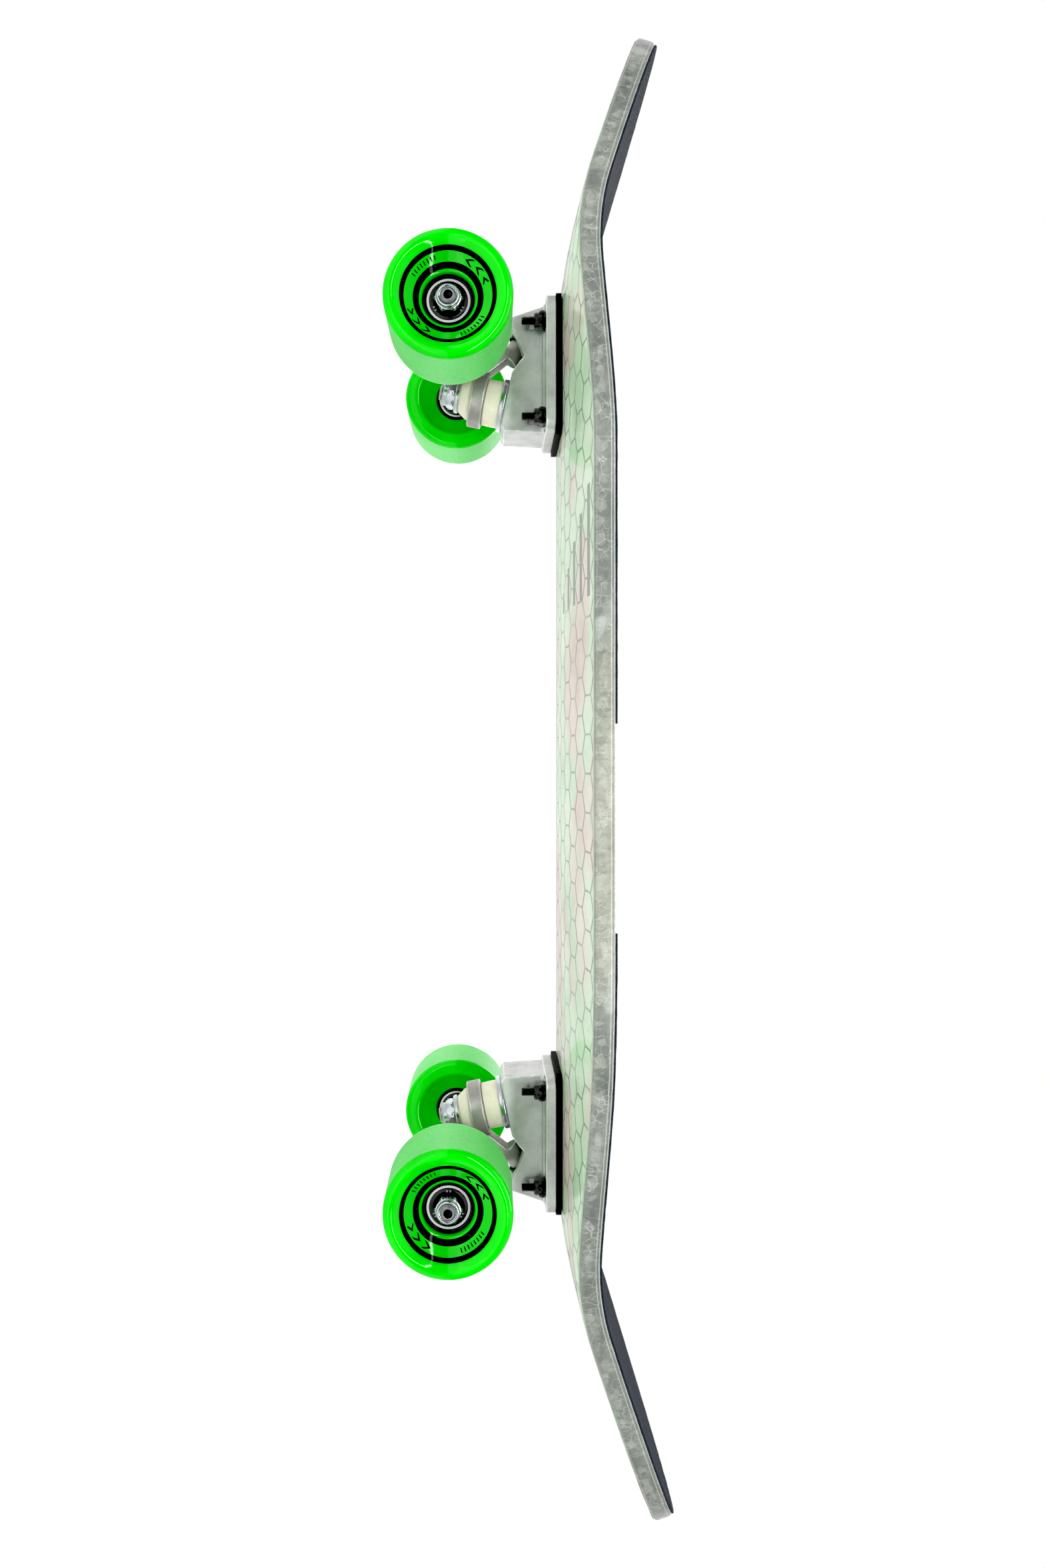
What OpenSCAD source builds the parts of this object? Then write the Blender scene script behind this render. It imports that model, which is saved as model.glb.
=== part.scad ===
// Cruiser skateboard: honeycomb-core deck on two kingpin trucks with 65 mm wheels.
// Millimetres. +X is towards the nose, +Y is the rider's left, +Z is up.
// The origin is on the ground under the middle of the board.

/* [Deck] */
// Distance from the middle of the trucks to the tip of the nose
nose_len = 411; // [390:1:430]
// Distance from the middle of the trucks to the tip of the tail
tail_len = 440; // [420:1:460]
// Width of the deck
deck_w = 218; // [210:1:224]
// Thickness of the deck without grip
deck_t = 11; // [10:0.5:13]
// Thickness of each glass-fibre skin
skin_t = 0.8; // [0.6:0.1:1.2]
// Width of the resin rail round the core
rail_w = 9; // [7:0.5:12]
// Thickness of the grip sheets
grip_t = 0.9; // [0.6:0.1:1.2]
// Upward angle of the nose and the tail
kick_angle = 18.4; // [12:0.2:22]
// Radius of the bends where nose and tail begin
kick_r = 180; // [160:1:220]
// Distance from the middle of the trucks to each bend
kick_start = 246; // [246:1:252]
// Half the width of the concave's flat floor
concave_flat = 15; // [12:1:30]
// Height of the concave at the deck's edge
concave_h = 9.6; // [8:0.1:11]
// Distance from the middle of the trucks at which the concave begins to fade
concave_hold = 150; // [130:5:180]
// Further distance over which it falls to half
concave_ease = 110; // [90:5:150]

/* [Outline] */
// Length over which the nose narrows
nose_taper = 252; // [245:1:290]
// Fullness of the nose where it begins to narrow
nose_full = 1.35; // [1.2:0.05:1.6]
// Bluntness of the nose's tip
nose_blunt = 2.02; // [1.8:0.02:2.3]
// Length over which the tail narrows
tail_taper = 335; // [320:1:360]
// Fullness of the tail where it begins to narrow
tail_full = 1.44; // [1.1:0.02:1.6]
// Bluntness of the tail's tip
tail_blunt = 2.1; // [1.9:0.02:2.7]

/* [Trucks] */
// Distance between the two axles
axle_base = 455; // [453:1:457]
// Distance between the inner bolt holes of the two trucks
inner_holes = 381; // [381:1:381]
// Bolt spacing along the board
bolt_x = 53.98; // [53.98:0.01:53.98]
// Bolt spacing across the board
bolt_y = 41.28; // [41.28:0.01:41.28]
// Height of the baseplate's upper face above the ground
base_top = 90.6; // [90:0.2:92]
// Thickness of the baseplate's flange
flange_t = 5.6; // [5:0.2:6.2]
// Thickness of the riser pad
riser_t = 3; // [2:0.5:4]
// Width of the hanger between the inner speed washers
hanger_w = 126.4; // [126.4:0.1:126.4]
// Tilt of the kingpin from upright
kingpin_tilt = 12; // [11:0.5:13]
// Place of the kingpin's middle, inboard of the axle
bushing_x = 21.5; // [21.5:0.1:22]
// Height of the hanger ring's middle
bushing_z = 46.8; // [46.6:0.1:47]
// Place of the pivot, outboard of the axle
pivot_x = 14.5; // [14:0.5:15]
// Height of the pivot
pivot_z = 74.5; // [74:0.5:75]

/* [Wheels] */
// Diameter of a wheel
wheel_d = 65; // [65:1:65]
// Distance from the board's middle to the outer lip's crest
lip_out = 99.4; // [98.8:0.1:100]
// Distance from the board's middle to the inner lip's crest
lip_in = 56.4; // [55:0.1:57]
// Radius of the lips' edges
lip_r = 3.6; // [3:0.1:4]
// Slope of the dished outer face
dish_angle = 32; // [30:1:34]

/* [Hidden] */
$fn = 64;

deck_mid = (tail_len - nose_len) / 2;
deck_z = base_top + riser_t;
deck_half = (nose_len + tail_len) / 2;
deck_top = deck_z + deck_t + grip_t;

// Grid of the deck: stations run from tail to nose and crowd towards the tips,
// columns run across it and crowd in the concave.
stations = 48;
end_cells = 3;
tip_gap = 0.25;
concave_steps = [0.15, 0.35, 0.55, 0.72, 0.88];
concave_power = 1.5;
columns = 2 * len(concave_steps) + 3;

// Grip sheets: each ends in a shallow V beside a bare strip, and lies on a film of glue
strip_front = 45;
strip_rear = -117;
strip_slope = 0.28;
grip_inset = 2.2;
glue_t = 0.05;
grip_levels = [[deck_t + glue_t, grip_inset], [deck_t + grip_t, grip_inset + 0.3]];

// Fasteners through the deck
bolt_r = 2.4;
bolt_hole_r = 2.6;
bolt_head_r = 4.7;
bolt_head_h = 2.9;
bolt_tail = 7;
lock_nut_h = 6.6;
lock_nut_af = 9.5;
bolt_mid = (inner_holes + bolt_x) / 2 - axle_base / 2;

// Truck details, in the truck's own frame: origin on the ground under the axle, +X outboard
flange_l = 75.5;
flange_w = 55;
flange_x = -7.75;
axle_z = wheel_d / 2;
axle_r = 4;
axle_end = 96.2;
kingpin_r = 4.75;
kingpin_end = 22.8;
kingpin_top = -43;
kingpin_head_h = 5;
kingpin_head_af = 14.3;
kingpin_nut_h = 7.5;
ring_r = 15.5;
ring_t = 8;
ring_hole_r = 7.5;
seat_s = -16.5;
board_washer_r = 15;
road_washer_r = 9.5;
washer_t = 1.3;
washer_rim = 1.2;
board_bushing_r = 13;
road_bushing_r = 12;
road_bushing_tip_r = 8;
bushing_bore = 4.85;
road_stack = 12;
steer_angle = atan2(pivot_z - bushing_z, pivot_x + bushing_x);
nose_r = 5.9;
cup_gap = 0.05;
cup_r = 7.5;
cup_mouth = -6;
cup_floor = 8;

// Wheel details, measured along the axle from the board's middle
bearing_w = 7;
bearing_r = 11;
bearing_gap = 10;
hub_in = 64;
hub_out = hub_in + 2 * bearing_w + bearing_gap;
speed_t = (2 * hub_in - hanger_w) / 2;
core_r = 13.2;
core_step_r = 16;
core_step = 4;
core_lip = 0.4;
ball_r = 1.985;
ball_pitch = 7.5;
balls = 7;
race_in_r = 6.05;
race_out_r = 9.2;
shield_r = 9.85;
shield_t = 0.4;
shield_depth = 0.3;
nut_h = 6.5;
nut_af = 12.7;

resin = [0.62, 0.64, 0.64];
mint = [0.72, 0.93, 0.80];
grit = [0.13, 0.14, 0.16];
black = [0.06, 0.06, 0.06];
cast = [0.66, 0.67, 0.68];
steel = [0.75, 0.75, 0.73];
zinc = [0.80, 0.79, 0.74];
cream = [0.93, 0.90, 0.82];
green = [0.05, 0.85, 0.10];

// ---- Deck surface -------------------------------------------------------

// Half the deck's width at x, measured from the middle of the trucks
function end_w(x, tip, taper, full, blunt) =
    deck_w / 2 * pow(1 - pow(max(0, 1 - (tip - x) / taper), full), 1 / blunt);
function half_w(x) = x > 0 ? end_w(x, nose_len, nose_taper, nose_full, nose_blunt)
    : end_w(-x, tail_len, tail_taper, tail_full, tail_blunt);

// Slope and rise of the kicks at a distance from the middle
function kick_slope(d) = asin(min(sin(kick_angle), max(0, d - kick_start) / kick_r));
function kick_rise(d) = kick_r * (1 - cos(kick_slope(d)))
    + max(0, d - kick_start - kick_r * sin(kick_angle)) * tan(kick_angle);

// Concave: a narrow flat floor with rising sides, shallower towards the tips
function fade(d) = 1 / (1 + pow(max(0, d - concave_hold) / concave_ease, 2));
function concave(x, y) = concave_h * fade(abs(x))
    * pow(max(0, abs(y) - concave_flat) / (deck_w / 2 - concave_flat), concave_power);

// A point at height n above the underside, square to it along the kicks
function deck_point(x, y, n) = [
    deck_mid + x - sign(x) * n * sin(kick_slope(abs(x))), y,
    deck_z + kick_rise(abs(x)) + concave(x, y) + n * cos(kick_slope(abs(x)))];

function station_x(i) = -deck_mid + (deck_half - tip_gap) * sin(90 * (2 * i / stations - 1));
function inner_w(w) = max(w - rail_w, w / 2);
// Place across the deck of column j, whose outermost one is drawn in by inset
function column_y(w, j, inset) =
    let (c = concat([for (k = [len(concave_steps) - 1:-1:0]) -concave_steps[k]], concave_steps),
        edge = w - min(inset, w / 4))
    j == 0 ? -edge : j == columns ? edge
    : j == 1 ? -inner_w(w) : j == columns - 1 ? inner_w(w)
    : inner_w(w) * c[j - 2];
// How far an edge inset draws station i back from the tip
function tip_inset(i, inset) = let (k = min(i, stations - i)) k >= end_cells ? 0
    : inset * (1 - (station_x(k) - station_x(0)) / (station_x(end_cells) - station_x(0)));
// Grid point; cut = [station, x, slope] bends that station into a V
function grid_point(i, j, n, inset, cut) =
    let (w = half_w(station_x(i)), y = column_y(w, j, inset),
        x = i == cut[0] ? cut[1] + cut[2] * abs(y)
        : station_x(i) + sign(stations / 2 - i) * tip_inset(i, inset))
    deck_point(x, y, n);

// A closed layer of the deck between its lowest and highest level, over stations i0 to i1
// and columns j0 to j1. Each level is [height, edge inset]. A ring leaves the core out.
module layer(levels, i0 = 0, i1 = stations, j0 = 0, j1 = columns, cut = [-1, 0, 0], ring = false) {
    rows = i1 - i0 + 1;
    cols = j1 - j0 + 1;
    size = rows * cols;
    top = len(levels) - 1;
    a = end_cells;
    function id(k, i, j) = k * size + (i - i0) * cols + j - j0;
    function solid_cell(i, j) = !ring || i < a || i >= stations - a || j == 0 || j == columns - 1;
    function quad(p, q, r, s) = [[p, q, r], [p, r, s]];
    cells = [for (i = [i0:i1 - 1], j = [j0:j1 - 1]) if (solid_cell(i, j)) [i, j]];
    faces = concat(
        [for (c = cells, f = quad(id(top, c[0], c[1]), id(top, c[0], c[1] + 1),
            id(top, c[0] + 1, c[1] + 1), id(top, c[0] + 1, c[1]))) f],
        [for (c = cells, f = quad(id(0, c[0], c[1]), id(0, c[0] + 1, c[1]),
            id(0, c[0] + 1, c[1] + 1), id(0, c[0], c[1] + 1))) [f[0], f[1], f[2]]],
        [for (k = [0:top - 1], i = [i0:i1 - 1], f = concat(
            quad(id(k, i, j0), id(k + 1, i, j0), id(k + 1, i + 1, j0), id(k, i + 1, j0)),
            quad(id(k, i, j1), id(k, i + 1, j1), id(k + 1, i + 1, j1), id(k + 1, i, j1)))) f],
        [for (k = [0:top - 1], j = [j0:j1 - 1], f = concat(
            quad(id(k, i0, j), id(k, i0, j + 1), id(k + 1, i0, j + 1), id(k + 1, i0, j)),
            quad(id(k, i1, j), id(k + 1, i1, j), id(k + 1, i1, j + 1), id(k, i1, j + 1)))) f],
        !ring ? [] : [for (i = [a:stations - a - 1], f = concat(
            quad(id(0, i, 1), id(0, i + 1, 1), id(top, i + 1, 1), id(top, i, 1)),
            quad(id(0, i, columns - 1), id(top, i, columns - 1),
                id(top, i + 1, columns - 1), id(0, i + 1, columns - 1)))) f],
        !ring ? [] : [for (j = [1:columns - 2], f = concat(
            quad(id(0, a, j), id(top, a, j), id(top, a, j + 1), id(0, a, j + 1)),
            quad(id(0, stations - a, j), id(0, stations - a, j + 1),
                id(top, stations - a, j + 1), id(top, stations - a, j)))) f]);
    points = [for (l = levels, i = [i0:i1], j = [j0:j1]) grid_point(i, j, l[0], l[1], cut)];
    polyhedron(points, faces);
}

// Children at all eight bolts, on the ground
module at_deck_bolts() {
    for (sx = [-1, 1], x = [inner_holes / 2, inner_holes / 2 + bolt_x], y = [-1, 1] * bolt_y / 2)
        translate([deck_mid + sx * x, y, 0]) children();
}

// Clearance for a bolt's shaft and countersunk head
module bolt_hole() {
    translate([0, 0, deck_z - 1]) cylinder(r = bolt_hole_r, h = deck_t + grip_t + 2);
    translate([0, 0, deck_top - bolt_head_h])
        cylinder(r1 = bolt_hole_r, r2 = bolt_head_r + 0.15, h = bolt_head_h + 0.01);
}

module drilled() {
    difference() {
        children();
        at_deck_bolts() bolt_hole();
    }
}

module deck_bottom_skin() {
    color(mint) drilled() layer([[0, 1.6], [skin_t, 0.7]]);
}

module honeycomb_core() {
    color([0.75, 0.85, 0.78]) drilled()
        layer([[skin_t, 0], [deck_t - skin_t, 0]], end_cells, stations - end_cells, 1, columns - 1);
}

module edge_rail() {
    color(resin) layer([[skin_t, 0.7], [2.6, 0], [deck_t - 2.6, 0], [deck_t - skin_t, 0.7]], ring = true);
}

module deck_top_skin() {
    color(resin) drilled() layer([[deck_t - skin_t, 0.7], [deck_t, 1.6]]);
}

module grip_front() {
    first = [for (i = [0:stations]) if (station_x(i) > strip_front + 4) i][0] - 1;
    color(grit) drilled() layer(grip_levels, i0 = first, cut = [first, strip_front, -strip_slope]);
}

module grip_rear() {
    last = len([for (i = [0:stations]) if (station_x(i) < strip_rear - 4) i]);
    color(grit) drilled() layer(grip_levels, i1 = last, cut = [last, strip_rear, strip_slope]);
}

// ---- Placing ------------------------------------------------------------

// Truck frame: dir is 1 at the front and -1 at the rear
module truck(dir) {
    translate([deck_mid + dir * axle_base / 2, 0, 0]) rotate([0, 0, dir > 0 ? 0 : 180]) children();
}

// Kingpin frame: origin in the hanger's ring, +Z towards the road
module on_kingpin() {
    translate([-bushing_x, 0, bushing_z]) rotate([0, 180 - kingpin_tilt, 0]) children();
}

// Steering frame: origin at the pivot, +Z from the ring to the pivot
module on_steer() {
    translate([pivot_x, 0, pivot_z]) rotate([0, 90 - steer_angle, 0]) children();
}

// Wheel frame: +Z is the axle, pointing outboard, from the board's middle
module wheel(dir, side) {
    truck(dir) translate([0, 0, axle_z]) rotate([0, 0, dir * side > 0 ? 0 : 180])
        rotate([-90, 0, 0]) children();
}

module at_truck_bolts() {
    for (x = [-1, 1] * bolt_x / 2, y = [-1, 1] * bolt_y / 2) translate([bolt_mid + x, y, 0]) children();
}

// ---- General shapes -----------------------------------------------------

module round_rect(l, w, r) {
    square([l - 2 * r, w], center = true);
    square([l, w - 2 * r], center = true);
    for (x = [-1, 1] * (l / 2 - r), y = [-1, 1] * (w / 2 - r)) translate([x, y]) circle(r);
}

module hex_prism(af, h) {
    cylinder(d = af / cos(30), h = h, $fn = 6);
}

module ring(r0, r1, h) {
    difference() {
        cylinder(r = r1, h = h);
        translate([0, 0, -1]) cylinder(r = r0, h = h + 2);
    }
}

// Lock nut: a hexagon with chamfered corners and a round collar
module lock_nut(af, h, bore) {
    collar = 0.25 * h;
    difference() {
        intersection() {
            hex_prism(af, h);
            cylinder(r1 = af * 0.56, r2 = af * 0.56 + h, h = h);
            union() {
                cylinder(r = af, h = h - collar);
                cylinder(r = af * 0.44, h = h);
            }
        }
        translate([0, 0, -1]) cylinder(r = bore, h = h + 2);
    }
}

// Side view outline, extruded to both sides of the truck's middle
module side_plate(points, w) {
    rotate([90, 0, 0]) linear_extrude(w, center = true) polygon(points);
}

// ---- Truck --------------------------------------------------------------

module riser_pad() {
    color(black) difference() {
        translate([flange_x - 0.5, 0, base_top]) linear_extrude(riser_t) round_rect(flange_l + 4, flange_w + 1, 6);
        at_truck_bolts() cylinder(r = bolt_hole_r, h = deck_z + 1);
    }
}

// Cast body under the flange, seen from the side: pivot housing outboard, kingpin seat inboard
module baseplate_body() {
    flange_z = base_top - flange_t;
    side_plate([[28, flange_z + 1], [20.8, 64.6], [-1.1, 73], [-3.3, 70.8], [-12.2, 64.6],
        [-40, 59], [-43.5, 61.5], [-45, flange_z + 1]], 31);
    translate([flange_x, 0, flange_z - 1.4]) linear_extrude(2.4) round_rect(flange_l - 5, flange_w - 16, 3);
}

module baseplate() {
    color(cast) difference() {
        union() {
            translate([flange_x, 0, base_top - flange_t]) linear_extrude(flange_t)
                round_rect(flange_l, flange_w, 5);
            difference() {
                baseplate_body();
                on_kingpin() translate([0, 0, seat_s]) cylinder(r = 24, h = 40);
            }
        }
        at_truck_bolts() translate([0, 0, 50]) cylinder(r = bolt_hole_r, h = 50);
        at_truck_bolts() translate([0, 0, base_top - flange_t - 10]) cylinder(r = lock_nut_af * 0.62, h = 10);
        on_kingpin() translate([0, 0, -60]) cylinder(r = kingpin_r, h = 60);
        on_kingpin() translate([0, 0, kingpin_top - 12]) cylinder(r = 9, h = 12 + kingpin_head_h);
        on_steer() translate([0, 0, cup_mouth]) cylinder(r = cup_r, h = cup_floor - cup_mouth);
        on_steer() translate([0, 0, cup_mouth - 20]) cylinder(r = cup_r + 1.5, h = 20);
    }
}

module pivot_cup() {
    color(black) on_steer() difference() {
        translate([0, 0, cup_mouth]) cylinder(r = cup_r, h = cup_floor - cup_mouth);
        translate([0, 0, cup_mouth - 1]) cylinder(r = nose_r + cup_gap, h = 1 - cup_mouth);
        sphere(r = nose_r + cup_gap);
    }
}

module kingpin() {
    color(steel) on_kingpin() {
        translate([0, 0, kingpin_top]) cylinder(r = kingpin_r, h = kingpin_end - kingpin_top - 1);
        translate([0, 0, kingpin_end - 1]) cylinder(r1 = kingpin_r, r2 = kingpin_r - 1, h = 1);
        translate([0, 0, kingpin_top]) hex_prism(kingpin_head_af, kingpin_head_h);
    }
}

// Cupped washer: a disc with a raised rim
module cup_washer(r, rim_h) {
    color(zinc) rotate_extrude() polygon([[kingpin_r + 0.1, 0], [r - 0.6, 0], [r, 0.6], [r, washer_t + rim_h],
        [r - washer_rim, washer_t + rim_h], [r - washer_rim, washer_t], [kingpin_r + 0.1, washer_t]]);
}

module boardside_washer() {
    on_kingpin() translate([0, 0, seat_s]) cup_washer(board_washer_r, 1.8);
}

module roadside_washer() {
    on_kingpin() translate([0, 0, road_stack + washer_t]) mirror([0, 0, 1]) cup_washer(road_washer_r, 1.2);
}

module boardside_bushing() {
    h = -seat_s - washer_t - ring_t / 2;
    color(cream) on_kingpin() translate([0, 0, seat_s + washer_t]) rotate_extrude()
        polygon([[bushing_bore, 0], [board_bushing_r - 0.8, 0], [board_bushing_r, 0.8],
            [board_bushing_r, h - 0.8], [board_bushing_r - 0.8, h], [bushing_bore, h]]);
}

module roadside_bushing() {
    h = road_stack - ring_t / 2;
    color(cream) on_kingpin() translate([0, 0, ring_t / 2]) rotate_extrude()
        polygon([[bushing_bore, 0], [road_bushing_r - 0.8, 0], [road_bushing_r, 0.8],
            [road_bushing_tip_r, h - 0.8], [road_bushing_tip_r, h], [bushing_bore, h]]);
}

module kingpin_nut() {
    color(zinc) on_kingpin() translate([0, 0, road_stack + washer_t]) rotate([0, 0, 30])
        lock_nut(kingpin_head_af, kingpin_nut_h, kingpin_r);
}

// Axle beam: thick in the middle, tapering to the wheel faces
module hanger_beam() {
    half = hanger_w / 2;
    translate([0, 0, axle_z]) rotate([90, 0, 0]) {
        cylinder(r = 8.3, h = 36, center = true);
        for (s = [0, 180]) rotate([s, 0, 0]) {
            translate([0, 0, 18]) cylinder(r1 = 8.3, r2 = 7, h = 40);
            translate([0, 0, 57.9]) cylinder(r = 6.4, h = half - 57.9);
        }
    }
}

module hanger() {
    color(cast) difference() {
        union() {
            hanger_beam();
            on_kingpin() cylinder(r = ring_r, h = ring_t, center = true);
            // wings from the beam up to the ring
            translate([0, 0, axle_z]) rotate([0, -17, 0]) rotate([90, 0, 90]) linear_extrude(8, center = true)
                polygon([[-46, 0], [-40, 6], [-15, 20], [15, 20], [40, 6], [46, 0]]);
            // arm from the beam and the ring to the pivot nose
            side_plate([[-5, 34], [-7.6, 46], [-7.8, 52], [-5, 56], [1, 63.5], [6, 67], [9, 61.5],
                [8, 48], [7, 34]], 12);
            on_steer() translate([0, 0, -17]) cylinder(r = nose_r, h = 17);
            on_steer() sphere(r = nose_r);
        }
        on_kingpin() cylinder(r = ring_hole_r, h = 3 * ring_t, center = true);
        translate([0, 0, axle_z]) rotate([90, 0, 0]) cylinder(r = axle_r, h = hanger_w + 2, center = true);
    }
}

module axle() {
    color(steel) translate([0, 0, axle_z]) rotate([90, 0, 0]) {
        cylinder(r = axle_r, h = 2 * axle_end - 1.6, center = true);
        for (s = [0, 180]) rotate([s, 0, 0])
            translate([0, 0, axle_end - 0.8]) cylinder(r1 = axle_r, r2 = axle_r - 0.8, h = 0.8);
    }
}

module mounting_bolts() {
    end = base_top - flange_t - lock_nut_h - bolt_tail;
    color(black) at_truck_bolts() difference() {
        union() {
            translate([0, 0, end]) cylinder(r = bolt_r, h = deck_top - end - 1);
            translate([0, 0, deck_top - bolt_head_h])
                cylinder(r1 = bolt_r, r2 = bolt_head_r, h = bolt_head_h);
        }
        translate([0, 0, deck_top - 2]) hex_prism(3, 3);
    }
}

module mounting_nuts() {
    color(black) at_truck_bolts() translate([0, 0, base_top - flange_t]) mirror([0, 0, 1])
        lock_nut(lock_nut_af, lock_nut_h, bolt_r);
}

module speed_washers() {
    color(zinc) translate([0, 0, axle_z]) for (s = [-90, 90], t = [hanger_w / 2, hub_out])
        rotate([s, 0, 0]) translate([0, 0, t]) ring(axle_r, 5.6, speed_t);
}

module axle_nuts() {
    color(zinc) translate([0, 0, axle_z]) for (s = [-90, 90])
        rotate([s, 0, 0]) translate([0, 0, hub_out + speed_t]) lock_nut(nut_af, nut_h, axle_r);
}

// ---- Wheel --------------------------------------------------------------

// Urethane tyre: dished outer face, rounded lips, conical inner recess
module tyre() {
    r = wheel_d / 2;
    cr = r - lip_r;
    dish_r = cr - lip_r * sin(dish_angle);
    dish_t = lip_out - lip_r + lip_r * cos(dish_angle);
    outer_lip = [for (a = [90 + dish_angle:-8.7143:0]) [cr + lip_r * cos(a), lip_out - lip_r + lip_r * sin(a)]];
    inner_lip = [for (a = [0:-9:-90]) [cr + lip_r * cos(a), lip_in + lip_r + lip_r * sin(a)]];
    color(green) rotate_extrude($fn = 128) polygon(concat(
        [[core_r, hub_in - core_lip], [core_r, hub_in + core_step], [core_step_r, hub_in + core_step],
            [core_step_r, hub_out - core_step], [core_r, hub_out - core_step], [core_r, hub_out + core_lip],
            [core_r, dish_t - (dish_r - core_r) * tan(dish_angle)]],
        outer_lip, inner_lip,
        [[24, lip_in], [23, lip_in + 0.4], [22.4, lip_in + 1.2], [15.5, hub_in - 1.4]]));
}

module core() {
    shoulder_r = bearing_r - 1.4;
    color(black) rotate_extrude() polygon([[bearing_r, hub_in - core_lip], [core_r, hub_in - core_lip],
        [core_r, hub_in + core_step], [core_step_r, hub_in + core_step], [core_step_r, hub_out - core_step],
        [core_r, hub_out - core_step], [core_r, hub_out + core_lip], [bearing_r, hub_out + core_lip],
        [bearing_r, hub_out - bearing_w], [shoulder_r, hub_out - bearing_w], [shoulder_r, hub_in + bearing_w],
        [bearing_r, hub_in + bearing_w]]);
}

module at_bearings() {
    for (t = [hub_in, hub_out - bearing_w]) translate([0, 0, t]) children();
}

// Outer rings, grooved for the balls and stepped for the shields
module bearing_races() {
    step = shield_depth + shield_t;
    color(steel) at_bearings() rotate_extrude() difference() {
        polygon([[shield_r, 0], [bearing_r, 0], [bearing_r, bearing_w], [shield_r, bearing_w],
            [shield_r, bearing_w - step], [race_out_r, bearing_w - step], [race_out_r, step], [shield_r, step]]);
        translate([ball_pitch, bearing_w / 2]) circle(r = ball_r + 0.015);
    }
}

module bearing_shields() {
    color(black) at_bearings() for (z = [shield_depth, bearing_w - shield_depth - shield_t])
        translate([0, 0, z]) ring(race_in_r + 0.07, shield_r, shield_t);
}

module bearing_balls() {
    color(steel) at_bearings() for (k = [0:balls - 1])
        rotate([0, 0, 360 * k / balls]) translate([ball_pitch, 0, bearing_w / 2]) sphere(r = ball_r);
}

// Inner rings, which stay on the axle, and the spacer between them
module bearing_hubs() {
    color(steel) {
        at_bearings() rotate_extrude() difference() {
            translate([axle_r, 0]) square([race_in_r - axle_r, bearing_w]);
            translate([ball_pitch, bearing_w / 2]) circle(r = ball_r + 0.045);
        }
        translate([0, 0, hub_in + bearing_w]) ring(axle_r, 5.6, bearing_gap);
    }
}

deck_bottom_skin();
honeycomb_core();
edge_rail();
deck_top_skin();
grip_front();
grip_rear();

truck(1) riser_pad();  // front_riser_pad
truck(1) baseplate();  // front_baseplate
truck(1) pivot_cup();  // front_pivot_cup
truck(1) kingpin();  // front_kingpin
truck(1) boardside_washer();  // front_boardside_washer
truck(1) boardside_bushing();  // front_boardside_bushing
truck(1) hanger();  // front_hanger
truck(1) axle();  // front_axle
truck(1) roadside_bushing();  // front_roadside_bushing
truck(1) roadside_washer();  // front_roadside_washer
truck(1) kingpin_nut();  // front_kingpin_nut
truck(1) mounting_bolts();  // front_mounting_bolts
truck(1) mounting_nuts();  // front_mounting_nuts
truck(1) speed_washers();  // front_speed_washers
truck(1) axle_nuts();  // front_axle_nuts

truck(-1) riser_pad();  // rear_riser_pad
truck(-1) baseplate();  // rear_baseplate
truck(-1) pivot_cup();  // rear_pivot_cup
truck(-1) kingpin();  // rear_kingpin
truck(-1) boardside_washer();  // rear_boardside_washer
truck(-1) boardside_bushing();  // rear_boardside_bushing
truck(-1) hanger();  // rear_hanger
truck(-1) axle();  // rear_axle
truck(-1) roadside_bushing();  // rear_roadside_bushing
truck(-1) roadside_washer();  // rear_roadside_washer
truck(-1) kingpin_nut();  // rear_kingpin_nut
truck(-1) mounting_bolts();  // rear_mounting_bolts
truck(-1) mounting_nuts();  // rear_mounting_nuts
truck(-1) speed_washers();  // rear_speed_washers
truck(-1) axle_nuts();  // rear_axle_nuts

wheel(1, 1) tyre();  // front_left_tyre
wheel(1, 1) core();  // front_left_core
wheel(1, 1) bearing_races();  // front_left_bearing_races
wheel(1, 1) bearing_shields();  // front_left_bearing_shields
wheel(1, 1) bearing_balls();  // front_left_bearing_balls
wheel(1, 1) bearing_hubs();  // front_left_bearing_hubs

wheel(1, -1) tyre();  // front_right_tyre
wheel(1, -1) core();  // front_right_core
wheel(1, -1) bearing_races();  // front_right_bearing_races
wheel(1, -1) bearing_shields();  // front_right_bearing_shields
wheel(1, -1) bearing_balls();  // front_right_bearing_balls
wheel(1, -1) bearing_hubs();  // front_right_bearing_hubs

wheel(-1, 1) tyre();  // rear_left_tyre
wheel(-1, 1) core();  // rear_left_core
wheel(-1, 1) bearing_races();  // rear_left_bearing_races
wheel(-1, 1) bearing_shields();  // rear_left_bearing_shields
wheel(-1, 1) bearing_balls();  // rear_left_bearing_balls
wheel(-1, 1) bearing_hubs();  // rear_left_bearing_hubs

wheel(-1, -1) tyre();  // rear_right_tyre
wheel(-1, -1) core();  // rear_right_core
wheel(-1, -1) bearing_races();  // rear_right_bearing_races
wheel(-1, -1) bearing_shields();  // rear_right_bearing_shields
wheel(-1, -1) bearing_balls();  // rear_right_bearing_balls
wheel(-1, -1) bearing_hubs();  // rear_right_bearing_hubs
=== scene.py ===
import math
from contextlib import contextmanager

import bmesh
import bpy
import numpy as np
from mathutils import Matrix, Vector, noise


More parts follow.
